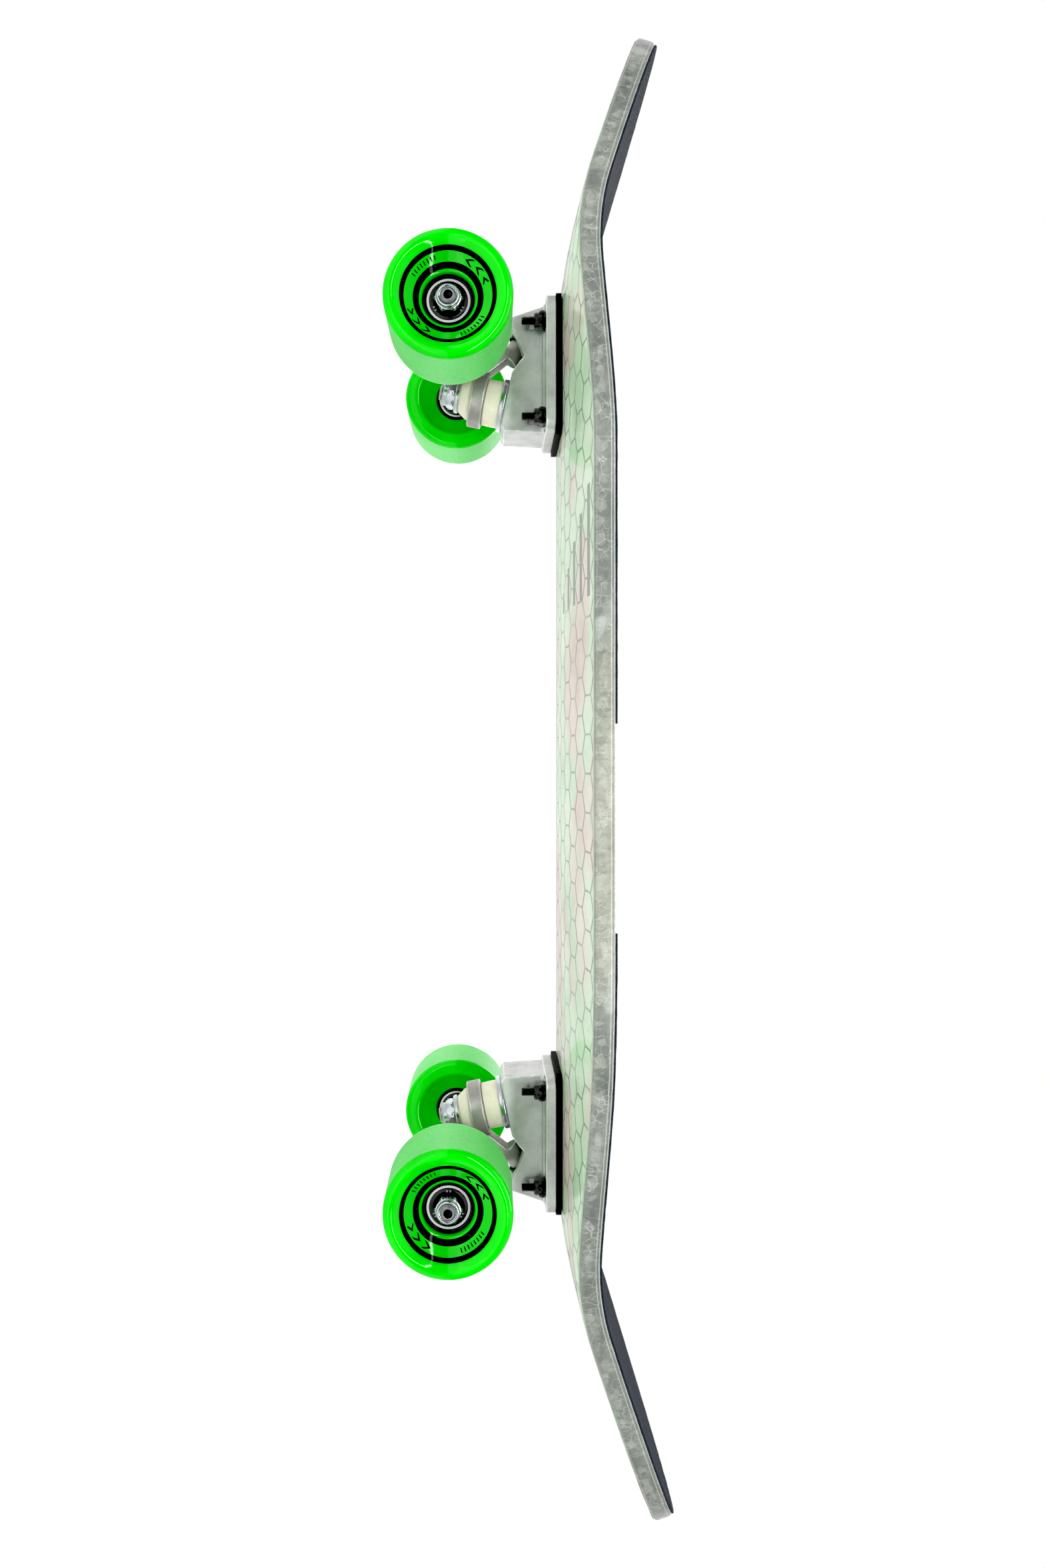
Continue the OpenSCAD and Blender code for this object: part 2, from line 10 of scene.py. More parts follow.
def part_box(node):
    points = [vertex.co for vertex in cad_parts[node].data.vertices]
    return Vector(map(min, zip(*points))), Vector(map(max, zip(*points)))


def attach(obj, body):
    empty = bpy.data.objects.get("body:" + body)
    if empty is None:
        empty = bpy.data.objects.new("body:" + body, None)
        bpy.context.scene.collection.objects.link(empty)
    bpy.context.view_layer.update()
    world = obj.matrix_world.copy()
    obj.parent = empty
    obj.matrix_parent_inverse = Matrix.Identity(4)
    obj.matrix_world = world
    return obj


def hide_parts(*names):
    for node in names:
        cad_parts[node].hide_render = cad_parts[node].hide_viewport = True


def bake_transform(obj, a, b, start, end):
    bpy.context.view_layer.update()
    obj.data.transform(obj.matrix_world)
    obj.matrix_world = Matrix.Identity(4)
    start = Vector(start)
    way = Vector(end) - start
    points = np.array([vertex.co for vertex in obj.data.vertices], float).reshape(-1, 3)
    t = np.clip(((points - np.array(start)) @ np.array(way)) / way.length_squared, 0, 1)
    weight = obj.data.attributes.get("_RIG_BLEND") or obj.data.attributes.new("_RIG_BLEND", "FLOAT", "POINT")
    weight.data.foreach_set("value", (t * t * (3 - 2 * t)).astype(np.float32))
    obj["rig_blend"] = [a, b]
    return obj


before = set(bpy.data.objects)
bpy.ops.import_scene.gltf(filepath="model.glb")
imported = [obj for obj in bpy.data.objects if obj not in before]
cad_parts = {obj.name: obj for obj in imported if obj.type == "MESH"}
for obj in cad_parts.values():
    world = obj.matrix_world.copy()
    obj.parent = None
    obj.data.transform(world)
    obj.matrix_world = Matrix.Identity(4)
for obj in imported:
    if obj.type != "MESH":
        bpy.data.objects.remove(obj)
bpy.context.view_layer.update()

# Lengths are millimetres, scaled to metres where a mesh or an object is made. X points to the nose,
# Y to the rider's left and Z up, as in the CAD.
MM = 0.001
scene = bpy.context.scene

# Deck, as in the CAD; x is measured from the middle between the trucks
NOSE_LEN, TAIL_LEN, DECK_W, DECK_T, SKIN_T, GRIP_T = 411, 440, 218, 11, 0.8, 0.95
NOSE_TAPER, NOSE_FULL, NOSE_BLUNT = 252, 1.35, 2.02
TAIL_TAPER, TAIL_FULL, TAIL_BLUNT = 335, 1.44, 2.1
KICK_ANGLE, KICK_R, KICK_START = math.radians(18.4), 180, 246
CONCAVE_FLAT, CONCAVE_H, CONCAVE_POWER, CONCAVE_HOLD, CONCAVE_EASE = 15, 9.6, 1.5, 150, 110
RAIL_W = 9
STRIP_FRONT, STRIP_REAR, STRIP_SLOPE = 45, -117, 0.28
GRIP_INSET = 0.75
TIP_GAP = 0.25
DECK_MID = (TAIL_LEN - NOSE_LEN) / 2
DECK_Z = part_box("deck_bottom_skin")[0].z / MM

# How finely the deck's pieces are divided: along a sheet, across it, and along the rail
SHEET_STEPS, SHEET_COLUMNS, RAIL_STEPS = 320, 72, 560

# Honeycomb: a cell's length along the board, the pitch of its columns across it, the middle of one
# column, the walls, and the gaps that it keeps to the skins' outsides and to the deck's edge
CELL_LEN, CELL_PITCH, CELL_Y, CELL_WALL, CELL_GAP, CELL_INSET = 19.4, 17.67, 8.15, 1.0, 0.15, 1.5

# Print under the deck: a blush cloud behind the front truck, and five bars of growing length
BLUSH_FROM, BLUSH_TO = 208, 262
BARS, BAR_X, BAR_LEN, BAR_GROWTH = 5, 92, 12, 11
BAR_Y, BAR_W, BAR_STEP = 27, 6, 17

# Trucks, in the truck's frame: on the ground under the axle, +X outboard
AXLE_BASE, AXLE_Z, AXLE_R, AXLE_END, AXLE_THREAD = 455, 32.5, 4, 96.2, 14
BASE_TOP, FLANGE_T = 90.6, 5.6
BOLT_X, BOLT_Y, BOLT_MID, BOLT_R, BOLT_THREAD, NUT_H = 53.98, 41.28, -10.01, 2.4, 15, 6.6
KINGPIN_AT, KINGPIN_TILT = (-21.5, 0, 46.8), math.radians(12)
KINGPIN_R, KINGPIN_END, KINGPIN_TOP, KINGPIN_AF = 4.75, 22.8, -43, 14.3
RING_T, SEAT, ROAD_STACK, WASHER_T = 8, -16.5, 12, 1.3

# Hexagons across their flats: the nuts on the axles and on the mounting bolts
AXLE_NUT_AF, BOLT_NUT_AF = 12.7, 9.5

# Wheels, in the wheel's frame: +Z outboard along the axle, from the board's middle
WHEEL_R, LIP_OUT, LIP_IN, LIP_R, DISH = 32.5, 99.4, 56.4, 3.6, math.radians(32)
HUB_IN, HUB_OUT, CORE_R, CORE_STEP_R, CORE_STEP = 64, 88, 13.2, 16, 4
BEARING_R, BEARING_W, RACE_IN_R, SHIELD_R = 11, 7, 6.05, 9.85

# Wheel print: radii of the two rings and of the marks between them, and how soft its edges are
RING_OUTER, RING_INNER, TICKS, CHEVRONS = (22.0, 24.2), (14.7, 17.7), (19.0, 21.0), (18.3, 21.5)
PRINT_SOFT = 0.06

# A little more than a wheel swings below the ground at full steer, with the deck held level
STEER_DIP = 16

# Edges sharper than this many degrees stay sharp
SHARP = 40


# ---- Mesh tools -----------------------------------------------------------

def grid_faces(rows, cols, close_rows=False, close_cols=False, first=0):
    """Quads over a rows x cols grid of points, joined end to end where asked."""
    last_row = rows if close_rows else rows - 1
    last_col = cols if close_cols else cols - 1
    return [(first + i * cols + j, first + i * cols + (j + 1) % cols,
             first + (i + 1) % rows * cols + (j + 1) % cols, first + (i + 1) % rows * cols + j)
            for i in range(last_row) for j in range(last_col)]


def linked(name, data):
    """A new object in the scene."""
    obj = bpy.data.objects.new(name, data)
    scene.collection.objects.link(obj)
    return obj


def piece(name, data, material, body, place=None, replaces=()):
    """A piece from a finished mesh, put in place and riding on its body."""
    obj = linked(name, data)
    data.materials.append(material)
    if place is not None:
        obj.matrix_world = place
    if replaces:
        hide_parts(*replaces)
    if body:
        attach(obj, body)
    return obj


def mesh(name, points, faces, angle=SHARP, values=None):
    """A closed, smooth-shaded mesh from points in millimetres. values is one number per point,
    kept as the attribute "height"."""
    data = bpy.data.meshes.new(name)
    data.from_pydata((np.asarray(points, float).reshape(-1, 3) * MM).tolist(), [], faces)
    if values is not None:
        data.attributes.new("height", "FLOAT", "POINT").data.foreach_set(
            "value", np.asarray(values, np.float32).ravel())
    tidy_mesh(data)
    smooth(data, angle)
    return data


@contextmanager
def editing(source, target):
    """A bmesh that starts as one mesh and is written to another, or back to the same one."""
    bm = bmesh.new()
    bm.from_mesh(source)
    yield bm
    bm.to_mesh(target)
    bm.free()


def tidy_mesh(data):
    """Joins points that meet and turns every face outwards."""
    with editing(data, data) as bm:
        bmesh.ops.remove_doubles(bm, verts=bm.verts, dist=0.002 * MM)
        bmesh.ops.recalc_face_normals(bm, faces=bm.faces)


def smooth(data, angle):
    data.shade_smooth()
    data.set_sharp_from_angle(angle=math.radians(angle))


def evaluated(obj):
    """The mesh of an object with its modifiers applied; the object itself is removed."""
    depsgraph = bpy.context.evaluated_depsgraph_get()
    data = bpy.data.meshes.new_from_object(obj.evaluated_get(depsgraph))
    data.materials.clear()
    bpy.data.objects.remove(obj)
    return data


def working_copy(node):
    """A copy of a CAD node's mesh with its points joined, to reshape."""
    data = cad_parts[node].data.copy()
    data.materials.clear()
    for name in [a.name for a in data.attributes if a.name == "custom_normal"]:
        data.attributes.remove(data.attributes[name])
    tidy_mesh(data)
    return linked(node + "_copy", data)


def casting(node, rounds):
    """A CAD node as a sand-cast piece: every edge melts into a small fillet."""
    voxel = 0.5
    obj = working_copy(node)
    remesh = obj.modifiers.new("skin", "REMESH")
    remesh.mode = "VOXEL"
    remesh.voxel_size = voxel * MM
    relax = obj.modifiers.new("relax", "SMOOTH")
    relax.factor = 0.5
    relax.iterations = rounds
    data = evaluated(obj)
    data.shade_smooth()
    return data


def bevelled(node, width):
    """A CAD node with its sharp edges broken."""
    obj = working_copy(node)
    with editing(obj.data, obj.data) as bm:
        bmesh.ops.dissolve_limit(bm, angle_limit=math.radians(1), verts=bm.verts, edges=bm.edges)
    bevel = obj.modifiers.new("bevel", "BEVEL")
    bevel.width = width * MM
    bevel.segments = 2
    bevel.limit_method = "ANGLE"
    bevel.angle_limit = math.radians(SHARP)
    data = evaluated(obj)
    smooth(data, SHARP)
    return data


def turned(name, profile, segments=96, hexagon=None, thread=None, closed=False, angle=SHARP):
    """A profile of (radius, height) points turned round +Z. hexagon is the across-flats size that
    limits the radius. thread is (from height, to height, pitch, depth)."""
    turn = np.arange(segments) * 2 * math.pi / segments
    corner = np.full(segments, np.inf)
    if hexagon:
        sixth = math.pi / 3
        corner = hexagon / 2 / np.cos((turn + sixth / 2) % sixth - sixth / 2)
    points = []
    for r, z in profile:
        radius = np.minimum(np.full(segments, float(r)), corner)
        if thread and thread[0] <= z <= thread[1]:
            wave = np.abs((z / thread[2] + turn / (2 * math.pi)) % 1 - 0.5) * 2
            radius = radius - thread[3] * wave
        points.append(np.stack([radius * np.cos(turn), radius * np.sin(turn),
                                np.full(segments, float(z))], 1))
    faces = grid_faces(len(profile), segments, close_rows=closed, close_cols=True)
    return mesh(name, np.concatenate(points), faces, angle)


def arc(cx, cz, r, start, end, steps):
    """Points on an arc of a profile; angles in degrees, 0 along the radius, 90 along the axis."""
    return [(cx + r * math.cos(math.radians(a)), cz + r * math.sin(math.radians(a)))
            for a in np.linspace(start, end, steps + 1)]


def rounded(profile, r, steps=3):
    """A closed profile with each corner cut by a short curve of about radius r."""
    out = []
    for k, here in enumerate(profile):
        here = np.array(here, float)
        ends = []
        for other in (profile[k - 1], profile[(k + 1) % len(profile)]):
            way = np.array(other, float) - here
            length = np.linalg.norm(way)
            ends.append(here + way / length * min(r, length * 0.45))
        for t in np.linspace(0, 1, steps + 1):
            out.append(tuple((1 - t) ** 2 * ends[0] + 2 * t * (1 - t) * here + t ** 2 * ends[1]))
    return out


# ---- Places ---------------------------------------------------------------

def shift(x, y, z):
    return Matrix.Translation(Vector((x, y, z)) * MM)


def turn(degrees, axis):
    return Matrix.Rotation(math.radians(degrees), 4, axis)


def truck_place(end):
    return shift(DECK_MID + end * AXLE_BASE / 2, 0, 0) @ turn(0 if end > 0 else 180, "Z")


def kingpin_place(end):
    return (truck_place(end) @ shift(*KINGPIN_AT)
            @ Matrix.Rotation(math.pi - KINGPIN_TILT, 4, "Y"))


def wheel_place(end, side):
    return (truck_place(end) @ shift(0, 0, AXLE_Z) @ turn(0 if end * side > 0 else 180, "Z")
            @ turn(-90, "X"))


# ---- Materials ------------------------------------------------------------

def grey(v):
    return (v, v, v, 1)


class Graph:
    """A tree of shader nodes."""

    # A colour mix's sockets for its factor and two colours, and for its result
    MIX_IN, MIX_OUT = (0, 6, 7), 2

    def __init__(self, tree):
        self.tree = tree

    def add(self, kind, inputs=None, **props):
        node = self.tree.nodes.new("ShaderNode" + kind)
        for key, value in props.items():
            setattr(node, key, value)
        for key, value in (inputs or {}).items():
            self.plug(node.inputs[key], value)
        return node

    def plug(self, socket, value):
        if isinstance(value, bpy.types.NodeSocket):
            self.tree.links.new(value, socket)
        else:
            socket.default_value = value

    def ramp(self, fac, *stops):
        node = self.add("ValToRGB", {"Fac": fac})
        band = node.color_ramp
        while len(band.elements) < len(stops):
            band.elements.new(0.5)
        for element, (at, color) in zip(band.elements, stops):
            element.position = at
            element.color = grey(color) if isinstance(color, (int, float)) else color
        return node.outputs["Color"]

    def mix(self, fac, a, b):
        node = self.add("Mix", data_type="RGBA")
        for index, value in zip(self.MIX_IN, (fac, a, b)):
            self.plug(node.inputs[index], value)
        return node.outputs[self.MIX_OUT]

    def math(self, how, a, b=0.0, clamp=False):
        node = self.add("Math", operation=how, use_clamp=clamp)
        self.plug(node.inputs[0], a)
        self.plug(node.inputs[1], b)
        return node.outputs[0]

    def times(self, a, b):
        return self.math("MULTIPLY", a, b)

    def window(self, value, low, high, soft):
        """1 between low and high, 0 outside, with soft edges."""
        up = self.math("DIVIDE", self.math("SUBTRACT", value, low), soft, clamp=True)
        down = self.math("DIVIDE", self.math("SUBTRACT", high, value), soft, clamp=True)
        return self.times(up, down)

    def spread(self, value, start, stop, low=0.0, high=1.0):
        """low where value is at start and below, high where it is at stop and beyond."""
        return self.add("MapRange", {"Value": value, "From Min": start, "From Max": stop,
                                     "To Min": low, "To Max": high}).outputs["Result"]


class Paint(Graph):
    """One procedural material. Positions are in the piece's own frame and sizes in millimetres."""

    def __init__(self, name, **sockets):
        self.material = bpy.data.materials.new(name)
        self.material.use_nodes = True
        super().__init__(self.material.node_tree)
        self.shader = self.tree.nodes["Principled BSDF"]
        self.here = self.add("TexCoord").outputs["Object"]
        for key, value in sockets.items():
            self.set(key, value)

    def set(self, key, value):
        names = {"color": "Base Color", "coat": "Coat Weight", "coat_rough": "Coat Roughness",
                 "specular": "Specular IOR Level", "ior": "IOR", "glow": "Subsurface Weight"}
        self.plug(self.shader.inputs[names.get(key, key.title())], value)

    def noise(self, size, detail=3.0, rough=0.55, stretch=None, warp=0.0):
        vector = self.here
        if stretch:
            vector = self.add("Mapping", {"Vector": vector, "Scale": stretch}).outputs["Vector"]
        return self.add("TexNoise", {"Vector": vector, "Scale": 1 / (size * MM), "Detail": detail,
                                     "Roughness": rough, "Distortion": warp}).outputs["Fac"]

    def cells(self, size, feature="F1", vector=None):
        return self.add("TexVoronoi", {"Vector": vector or self.here, "Scale": 1 / (size * MM)},
                        feature=feature).outputs["Distance"]

    def over(self, color, mask, strength, *display):
        """A display colour laid over another where the mask is 1."""
        return self.mix(self.times(mask, strength), color, rgb(*display))

    def tones(self, fac, *display):
        """Three display colours, for the low, middle and high values of a noise."""
        return self.ramp(fac, *((at, rgb(*c)) for at, c in zip((0.34, 0.5, 0.66), display)))

    def roughen(self, grain, low, high):
        self.set("roughness", self.ramp(grain, (0.3, low), (0.7, high)))

    def axis(self, letter):
        """One coordinate, in millimetres."""
        parts = self.add("SeparateXYZ", {"Vector": self.here})
        return self.math("DIVIDE", parts.outputs[letter], MM)

    def bump(self, height, distance, strength=1.0, under=None):
        node = self.add("Bump", {"Height": height, "Distance": distance * MM, "Strength": strength})
        if under is not None:
            self.tree.links.new(under, node.inputs["Normal"])
        self.set("normal", node.outputs["Normal"])
        return node.outputs["Normal"]

    def edges(self, start, full):
        """1 on the raised edges of a dense mesh, or in its creases if full is the lower value."""
        return self.spread(self.add("NewGeometry").outputs["Pointiness"], start, full)


def rgb(r, g, b):
    """A display colour as the linear one that shaders take."""
    return tuple((c / 255 / 12.92) if c <= 10 else ((c / 255 + 0.055) / 1.055) ** 2.4
                 for c in (r, g, b)) + (1,)


def film_clouds(p):
    """Where the film turns from mint to blush: soft clouds, more of them behind the front truck."""
    clouds = p.noise(62, detail=2, rough=0.5, warp=0.6, stretch=(0.7, 1, 1))
    extra = p.times(p.window(p.axis("X"), BLUSH_FROM, BLUSH_TO, 16), 0.1)
    return p.math("ADD", clouds, extra)


def cloudy_film(name, bars):
    """Printed film under the fibreglass: soft clouds of mint and blush, and plain dark bars."""
    p = Paint(name, roughness=0.6)
    clouds = film_clouds(p)
    tints = p.noise(45, detail=2, rough=0.5)
    mint = p.tones(tints, (170, 203, 166), (194, 219, 189), (210, 224, 204))
    blush = p.tones(tints, (200, 172, 164), (216, 196, 188), (222, 212, 198))
    color = p.mix(p.ramp(clouds, (0.45, 0), (0.55, 1)), mint, blush)
    fibres = p.noise(1.4, detail=3, stretch=(0.12, 1, 1))
    color = p.mix(p.ramp(fibres, (0.35, 0.16), (0.65, 0)), color, rgb(236, 240, 232))
    for k in range(bars):
        end, near = BAR_X + BAR_LEN + BAR_GROWTH * k, BAR_Y + BAR_STEP * k
        bar = p.times(p.window(p.axis("X"), BAR_X, end, 0.5),
                      p.window(p.axis("Y"), near, near + BAR_W, 0.4))
        color = p.over(color, bar, 0.92, 48, 52, 50)
    p.set("color", color)
    p.bump(fibres, 0.05, 0.4)
    return p.material


def cell_wall():
    """The honeycomb's walls: darker than the film, in its colours, and faded here and there."""
    p = Paint("cell_wall", roughness=0.5)
    clouds = film_clouds(p)
    color = p.mix(p.ramp(clouds, (0.47, 0), (0.53, 1)), rgb(84, 122, 82), rgb(116, 90, 80))
    fade = p.ramp(p.noise(26, detail=3), (0.42, 0.0), (0.64, 0.6))
    p.set("color", p.mix(fade, color, rgb(176, 196, 172)))
    p.bump(p.noise(0.8), 0.05, 0.5)
    return p.material


def clear_skin(name, alpha):
    """Thin fibreglass and resin: glossy, milky, with a faint weave."""
    p = Paint(name, coat=1.0, coat_rough=0.06, alpha=alpha, ior=1.5)
    threads = p.times(p.noise(1.1, detail=2, stretch=(0.1, 1, 1)),
                      p.noise(1.1, detail=2, stretch=(1, 0.1, 1)))
    milk = p.noise(16, detail=4, rough=0.6, stretch=(0.35, 1, 1))
    milky = p.ramp(milk, (0.35, 0), (0.7, 1))
    p.set("color", p.mix(milky, rgb(226, 236, 226), rgb(246, 246, 240)))
    p.roughen(p.noise(4), 0.16, 0.3)
    wave = p.bump(p.noise(22, detail=2), 0.5, 0.35)
    p.bump(threads, 0.08, 0.4, under=wave)
    return p.material


def rail_resin():
    """Cast resin band: milky grey-green, crinkled, with bubbles and pale specks."""
    p = Paint("rail_resin", coat=0.35, coat_rough=0.12, ior=1.5)
    height = p.add("Attribute", attribute_name="height").outputs["Fac"]
    body = p.noise(24, detail=5, rough=0.62, stretch=(0.6, 1, 1))
    under_grip = p.tones(body, (104, 110, 105), (132, 137, 131), (154, 157, 150))
    in_light = p.tones(body, (146, 150, 137), (166, 169, 155), (184, 186, 172))
    x = p.math("ADD", p.axis("X"), -DECK_MID)
    lit = p.window(x, STRIP_REAR - 14, STRIP_FRONT + 28, 34)
    color = p.mix(lit, under_grip, in_light)
    flakes = p.add("TexVoronoi", {"Vector": p.here, "Scale": 190.0}).outputs["Color"]
    flakes = p.mix(p.window(height, -1, 7.2, 1.5), grey(0.5), flakes)
    color = p.mix(p.ramp(flakes, (0.35, 0.2), (0.5, 0)), color, rgb(108, 113, 106))
    color = p.mix(p.ramp(flakes, (0.5, 0), (0.68, 0.24)), color, rgb(206, 210, 198))
    streaks = p.noise(3.2, detail=4, rough=0.65, stretch=(1, 1, 0.35))
    color = p.mix(p.ramp(streaks, (0.36, 0.3), (0.5, 0)), color, rgb(104, 110, 104))
    color = p.mix(p.ramp(streaks, (0.55, 0), (0.7, 0.35)), color, rgb(196, 202, 192))
    shake = p.add("TexNoise", {"Vector": p.here, "Scale": 120.0, "Detail": 4.0}).outputs["Color"]
    shake = p.add("VectorMath", {0: shake, 1: (0.006, 0.006, 0.006)}, operation="MULTIPLY")
    shaken = p.add("VectorMath", {0: p.here, 1: shake.outputs[0]}).outputs[0]
    crinkle = p.cells(5.5, feature="DISTANCE_TO_EDGE", vector=shaken)
    veins = p.times(p.ramp(crinkle, (0.0, 1), (0.035, 0)),
                    p.ramp(p.noise(13), (0.42, 0), (0.56, 1)))
    color = p.over(color, veins, 0.45, 226, 230, 220)
    bubbles = p.ramp(p.cells(2.3), (0.0, 1), (0.14, 0))
    bubbles = p.times(bubbles, p.ramp(p.noise(9, detail=1), (0.5, 0), (0.58, 1)))
    color = p.over(color, bubbles, 0.6, 228, 233, 226)
    blobs = p.ramp(p.noise(17, detail=1, rough=0.3, stretch=(0.8, 1, 1)), (0.66, 0), (0.74, 1))
    color = p.over(color, blobs, 0.45, 205, 212, 202)
    pores = p.ramp(p.noise(0.9, detail=4, rough=0.7), (0.36, 1), (0.46, 0))
    color = p.over(color, pores, 0.4, 112, 118, 110)
    lower = p.window(height, -1, 2.8, 1.3)
    color = p.over(color, lower, 0.45, 112, 124, 112)
    color = p.over(color, p.window(height, 8.5, 9.1, 0.2), 0.5, 216, 220, 208)
    color = p.over(color, p.window(height, 9.2, 12, 0.2), 0.35, 96, 102, 98)
    p.set("color", color)
    p.roughen(p.noise(3, detail=4), 0.22, 0.46)
    wave = p.bump(p.noise(7, detail=3), 0.5, 0.4)
    wave = p.bump(bubbles, 0.25, 0.7, under=wave)
    p.bump(p.noise(0.7, detail=4), 0.08, 0.5, under=wave)
    return p.material


def grip_grit():
    """Black abrasive sheet: hard grains in resin, a few of them bright."""
    p = Paint("grip_grit", specular=0.15)
    grains = p.cells(0.42)
    tone = p.noise(30, detail=4)
    color = p.ramp(grains, (0.0, rgb(90, 101, 114)), (0.35, rgb(56, 63, 72)),
                   (0.8, rgb(31, 35, 41)))
    color = p.mix(p.ramp(tone, (0.35, 0.5), (0.65, 0)), color, rgb(36, 41, 48))
    sparkle = p.ramp(p.noise(0.5, detail=2), (0.70, 0), (0.76, 1))
    p.set("color", p.over(color, sparkle, 0.7, 190, 196, 205))
    p.set("roughness", p.ramp(p.noise(0.6), (0.4, 0.55), (0.6, 0.95)))
    under = p.bump(tone, 0.3, 0.3)
    p.bump(grains, 0.35, 1.0, under=under)
    return p.material


def cast_aluminium(name, tone, warm, grain=0.55):
    """Sand-blasted casting: fine grain, soft stains, painted shade in the creases and brighter rubbed edges.
    """
    p = Paint(name, metallic=0.85)

    def tinted(v):
        return rgb(v + warm, v, v - warm)

    stains = p.noise(14, detail=5, rough=0.6)
    color = p.ramp(stains, (0.3, tinted(tone - 22)), (0.52, tinted(tone)),
                   (0.75, tinted(tone + 14)))
    speck = p.ramp(p.noise(grain, detail=3, rough=0.7), (0.34, 1), (0.45, 0))
    color = p.mix(p.times(speck, 0.35), color, tinted(tone - 70))
    # Painted shade: the creases are darkened.
    color = p.mix(p.times(p.edges(0.495, 0.44), 0.6), color, tinted(tone - 120))
    edge = p.edges(0.508, 0.545)
    p.set("color", p.over(color, edge, 0.8, 236, 237, 236))
    p.set("roughness", p.mix(edge, p.ramp(p.noise(5), (0.3, 0.42), (0.7, 0.58)), grey(0.28)))
    wave = p.bump(p.noise(6, detail=2), 0.25, 0.4)
    p.bump(p.noise(grain, detail=4, rough=0.7), 0.09, 0.8, under=wave)
    return p.material


def bright_steel(name, color, rough, bore=0.0):
    """Plated or ground steel: faint scratches, a little tarnish, and painted shade in a centre hole."""
    p = Paint(name, metallic=1.0)
    haze = p.noise(5, detail=4)
    tarnish = p.ramp(haze, (0.3, 0.0), (0.75, 0.35))
    dull = tuple(0.72 * c for c in color[:3]) + (1,)
    color = p.mix(tarnish, color, dull)
    if bore:
        # Painted shade: the centre hole is painted dark.
        color = p.mix(p.window(polar(p)[0], -1, bore, 0.15), color, rgb(46, 46, 48))
    p.set("color", color)
    scratch = p.noise(0.5, detail=3)
    uneven = p.math("ADD", p.times(haze, 0.5), p.times(scratch, 0.5))
    p.roughen(uneven, rough, rough + 0.16)
    p.bump(scratch, 0.015, 0.35)
    return p.material


def black_metal():
    """Black oxide on steel, rubbed a little brown-grey on the high spots."""
    p = Paint("black_metal", metallic=0.55, coat=0.7, coat_rough=0.14)
    rub = p.ramp(p.noise(2.2, detail=4), (0.5, 0), (0.8, 0.5))
    p.set("color", p.mix(rub, rgb(16, 16, 17), rgb(58, 57, 56)))
    p.roughen(p.noise(1.5), 0.24, 0.42)
    p.bump(p.noise(0.4, detail=3), 0.02, 0.5)
    return p.material


def black_plastic(name, rough, tone=18):
    p = Paint(name, specular=0.3)
    p.set("color", p.ramp(p.noise(3, detail=4), (0.3, rgb(tone, tone, tone + 1)),
                          (0.7, rgb(tone + 12, tone + 12, tone + 13))))
    p.roughen(p.noise(2), rough, rough + 0.14)
    p.bump(p.noise(0.45, detail=3), 0.03, 0.5)
    return p.material


def shield_black():
    """Bearing shield: black, pressed, with a ring of short pale ticks."""
    p = Paint("shield_black", metallic=0.2)
    r, angle = polar(p)
    step = p.math("FRACT", p.times(angle, 30))
    zone = p.window(p.math("FRACT", p.times(angle, 3)), 0.4, 0.62, 0.005)
    tick = p.times(p.window(step, 0.2, 0.7, 0.05), p.window(r, 7.4, 8.5, 0.08))
    tick = p.times(tick, zone)
    base = p.ramp(p.noise(2), (0.3, rgb(12, 12, 13)), (0.7, rgb(30, 30, 32)))
    p.set("color", p.over(base, tick, 0.75, 150, 156, 160))
    p.roughen(p.noise(1.5), 0.22, 0.4)
    p.bump(p.window(r, 7.1, 8.8, 0.5), 0.12, 0.6)
    return p.material


def polar(p):
    """Radius in millimetres and turn (0 to 1) round the piece's own Z axis."""
    x, y = p.axis("X"), p.axis("Y")
    r = p.math("SQRT", p.math("ADD", p.times(x, x), p.times(y, y)))
    angle = p.math("ADD", p.math("DIVIDE", p.math("ARCTAN2", y, x), 2 * math.pi), 0.5)
    return r, angle


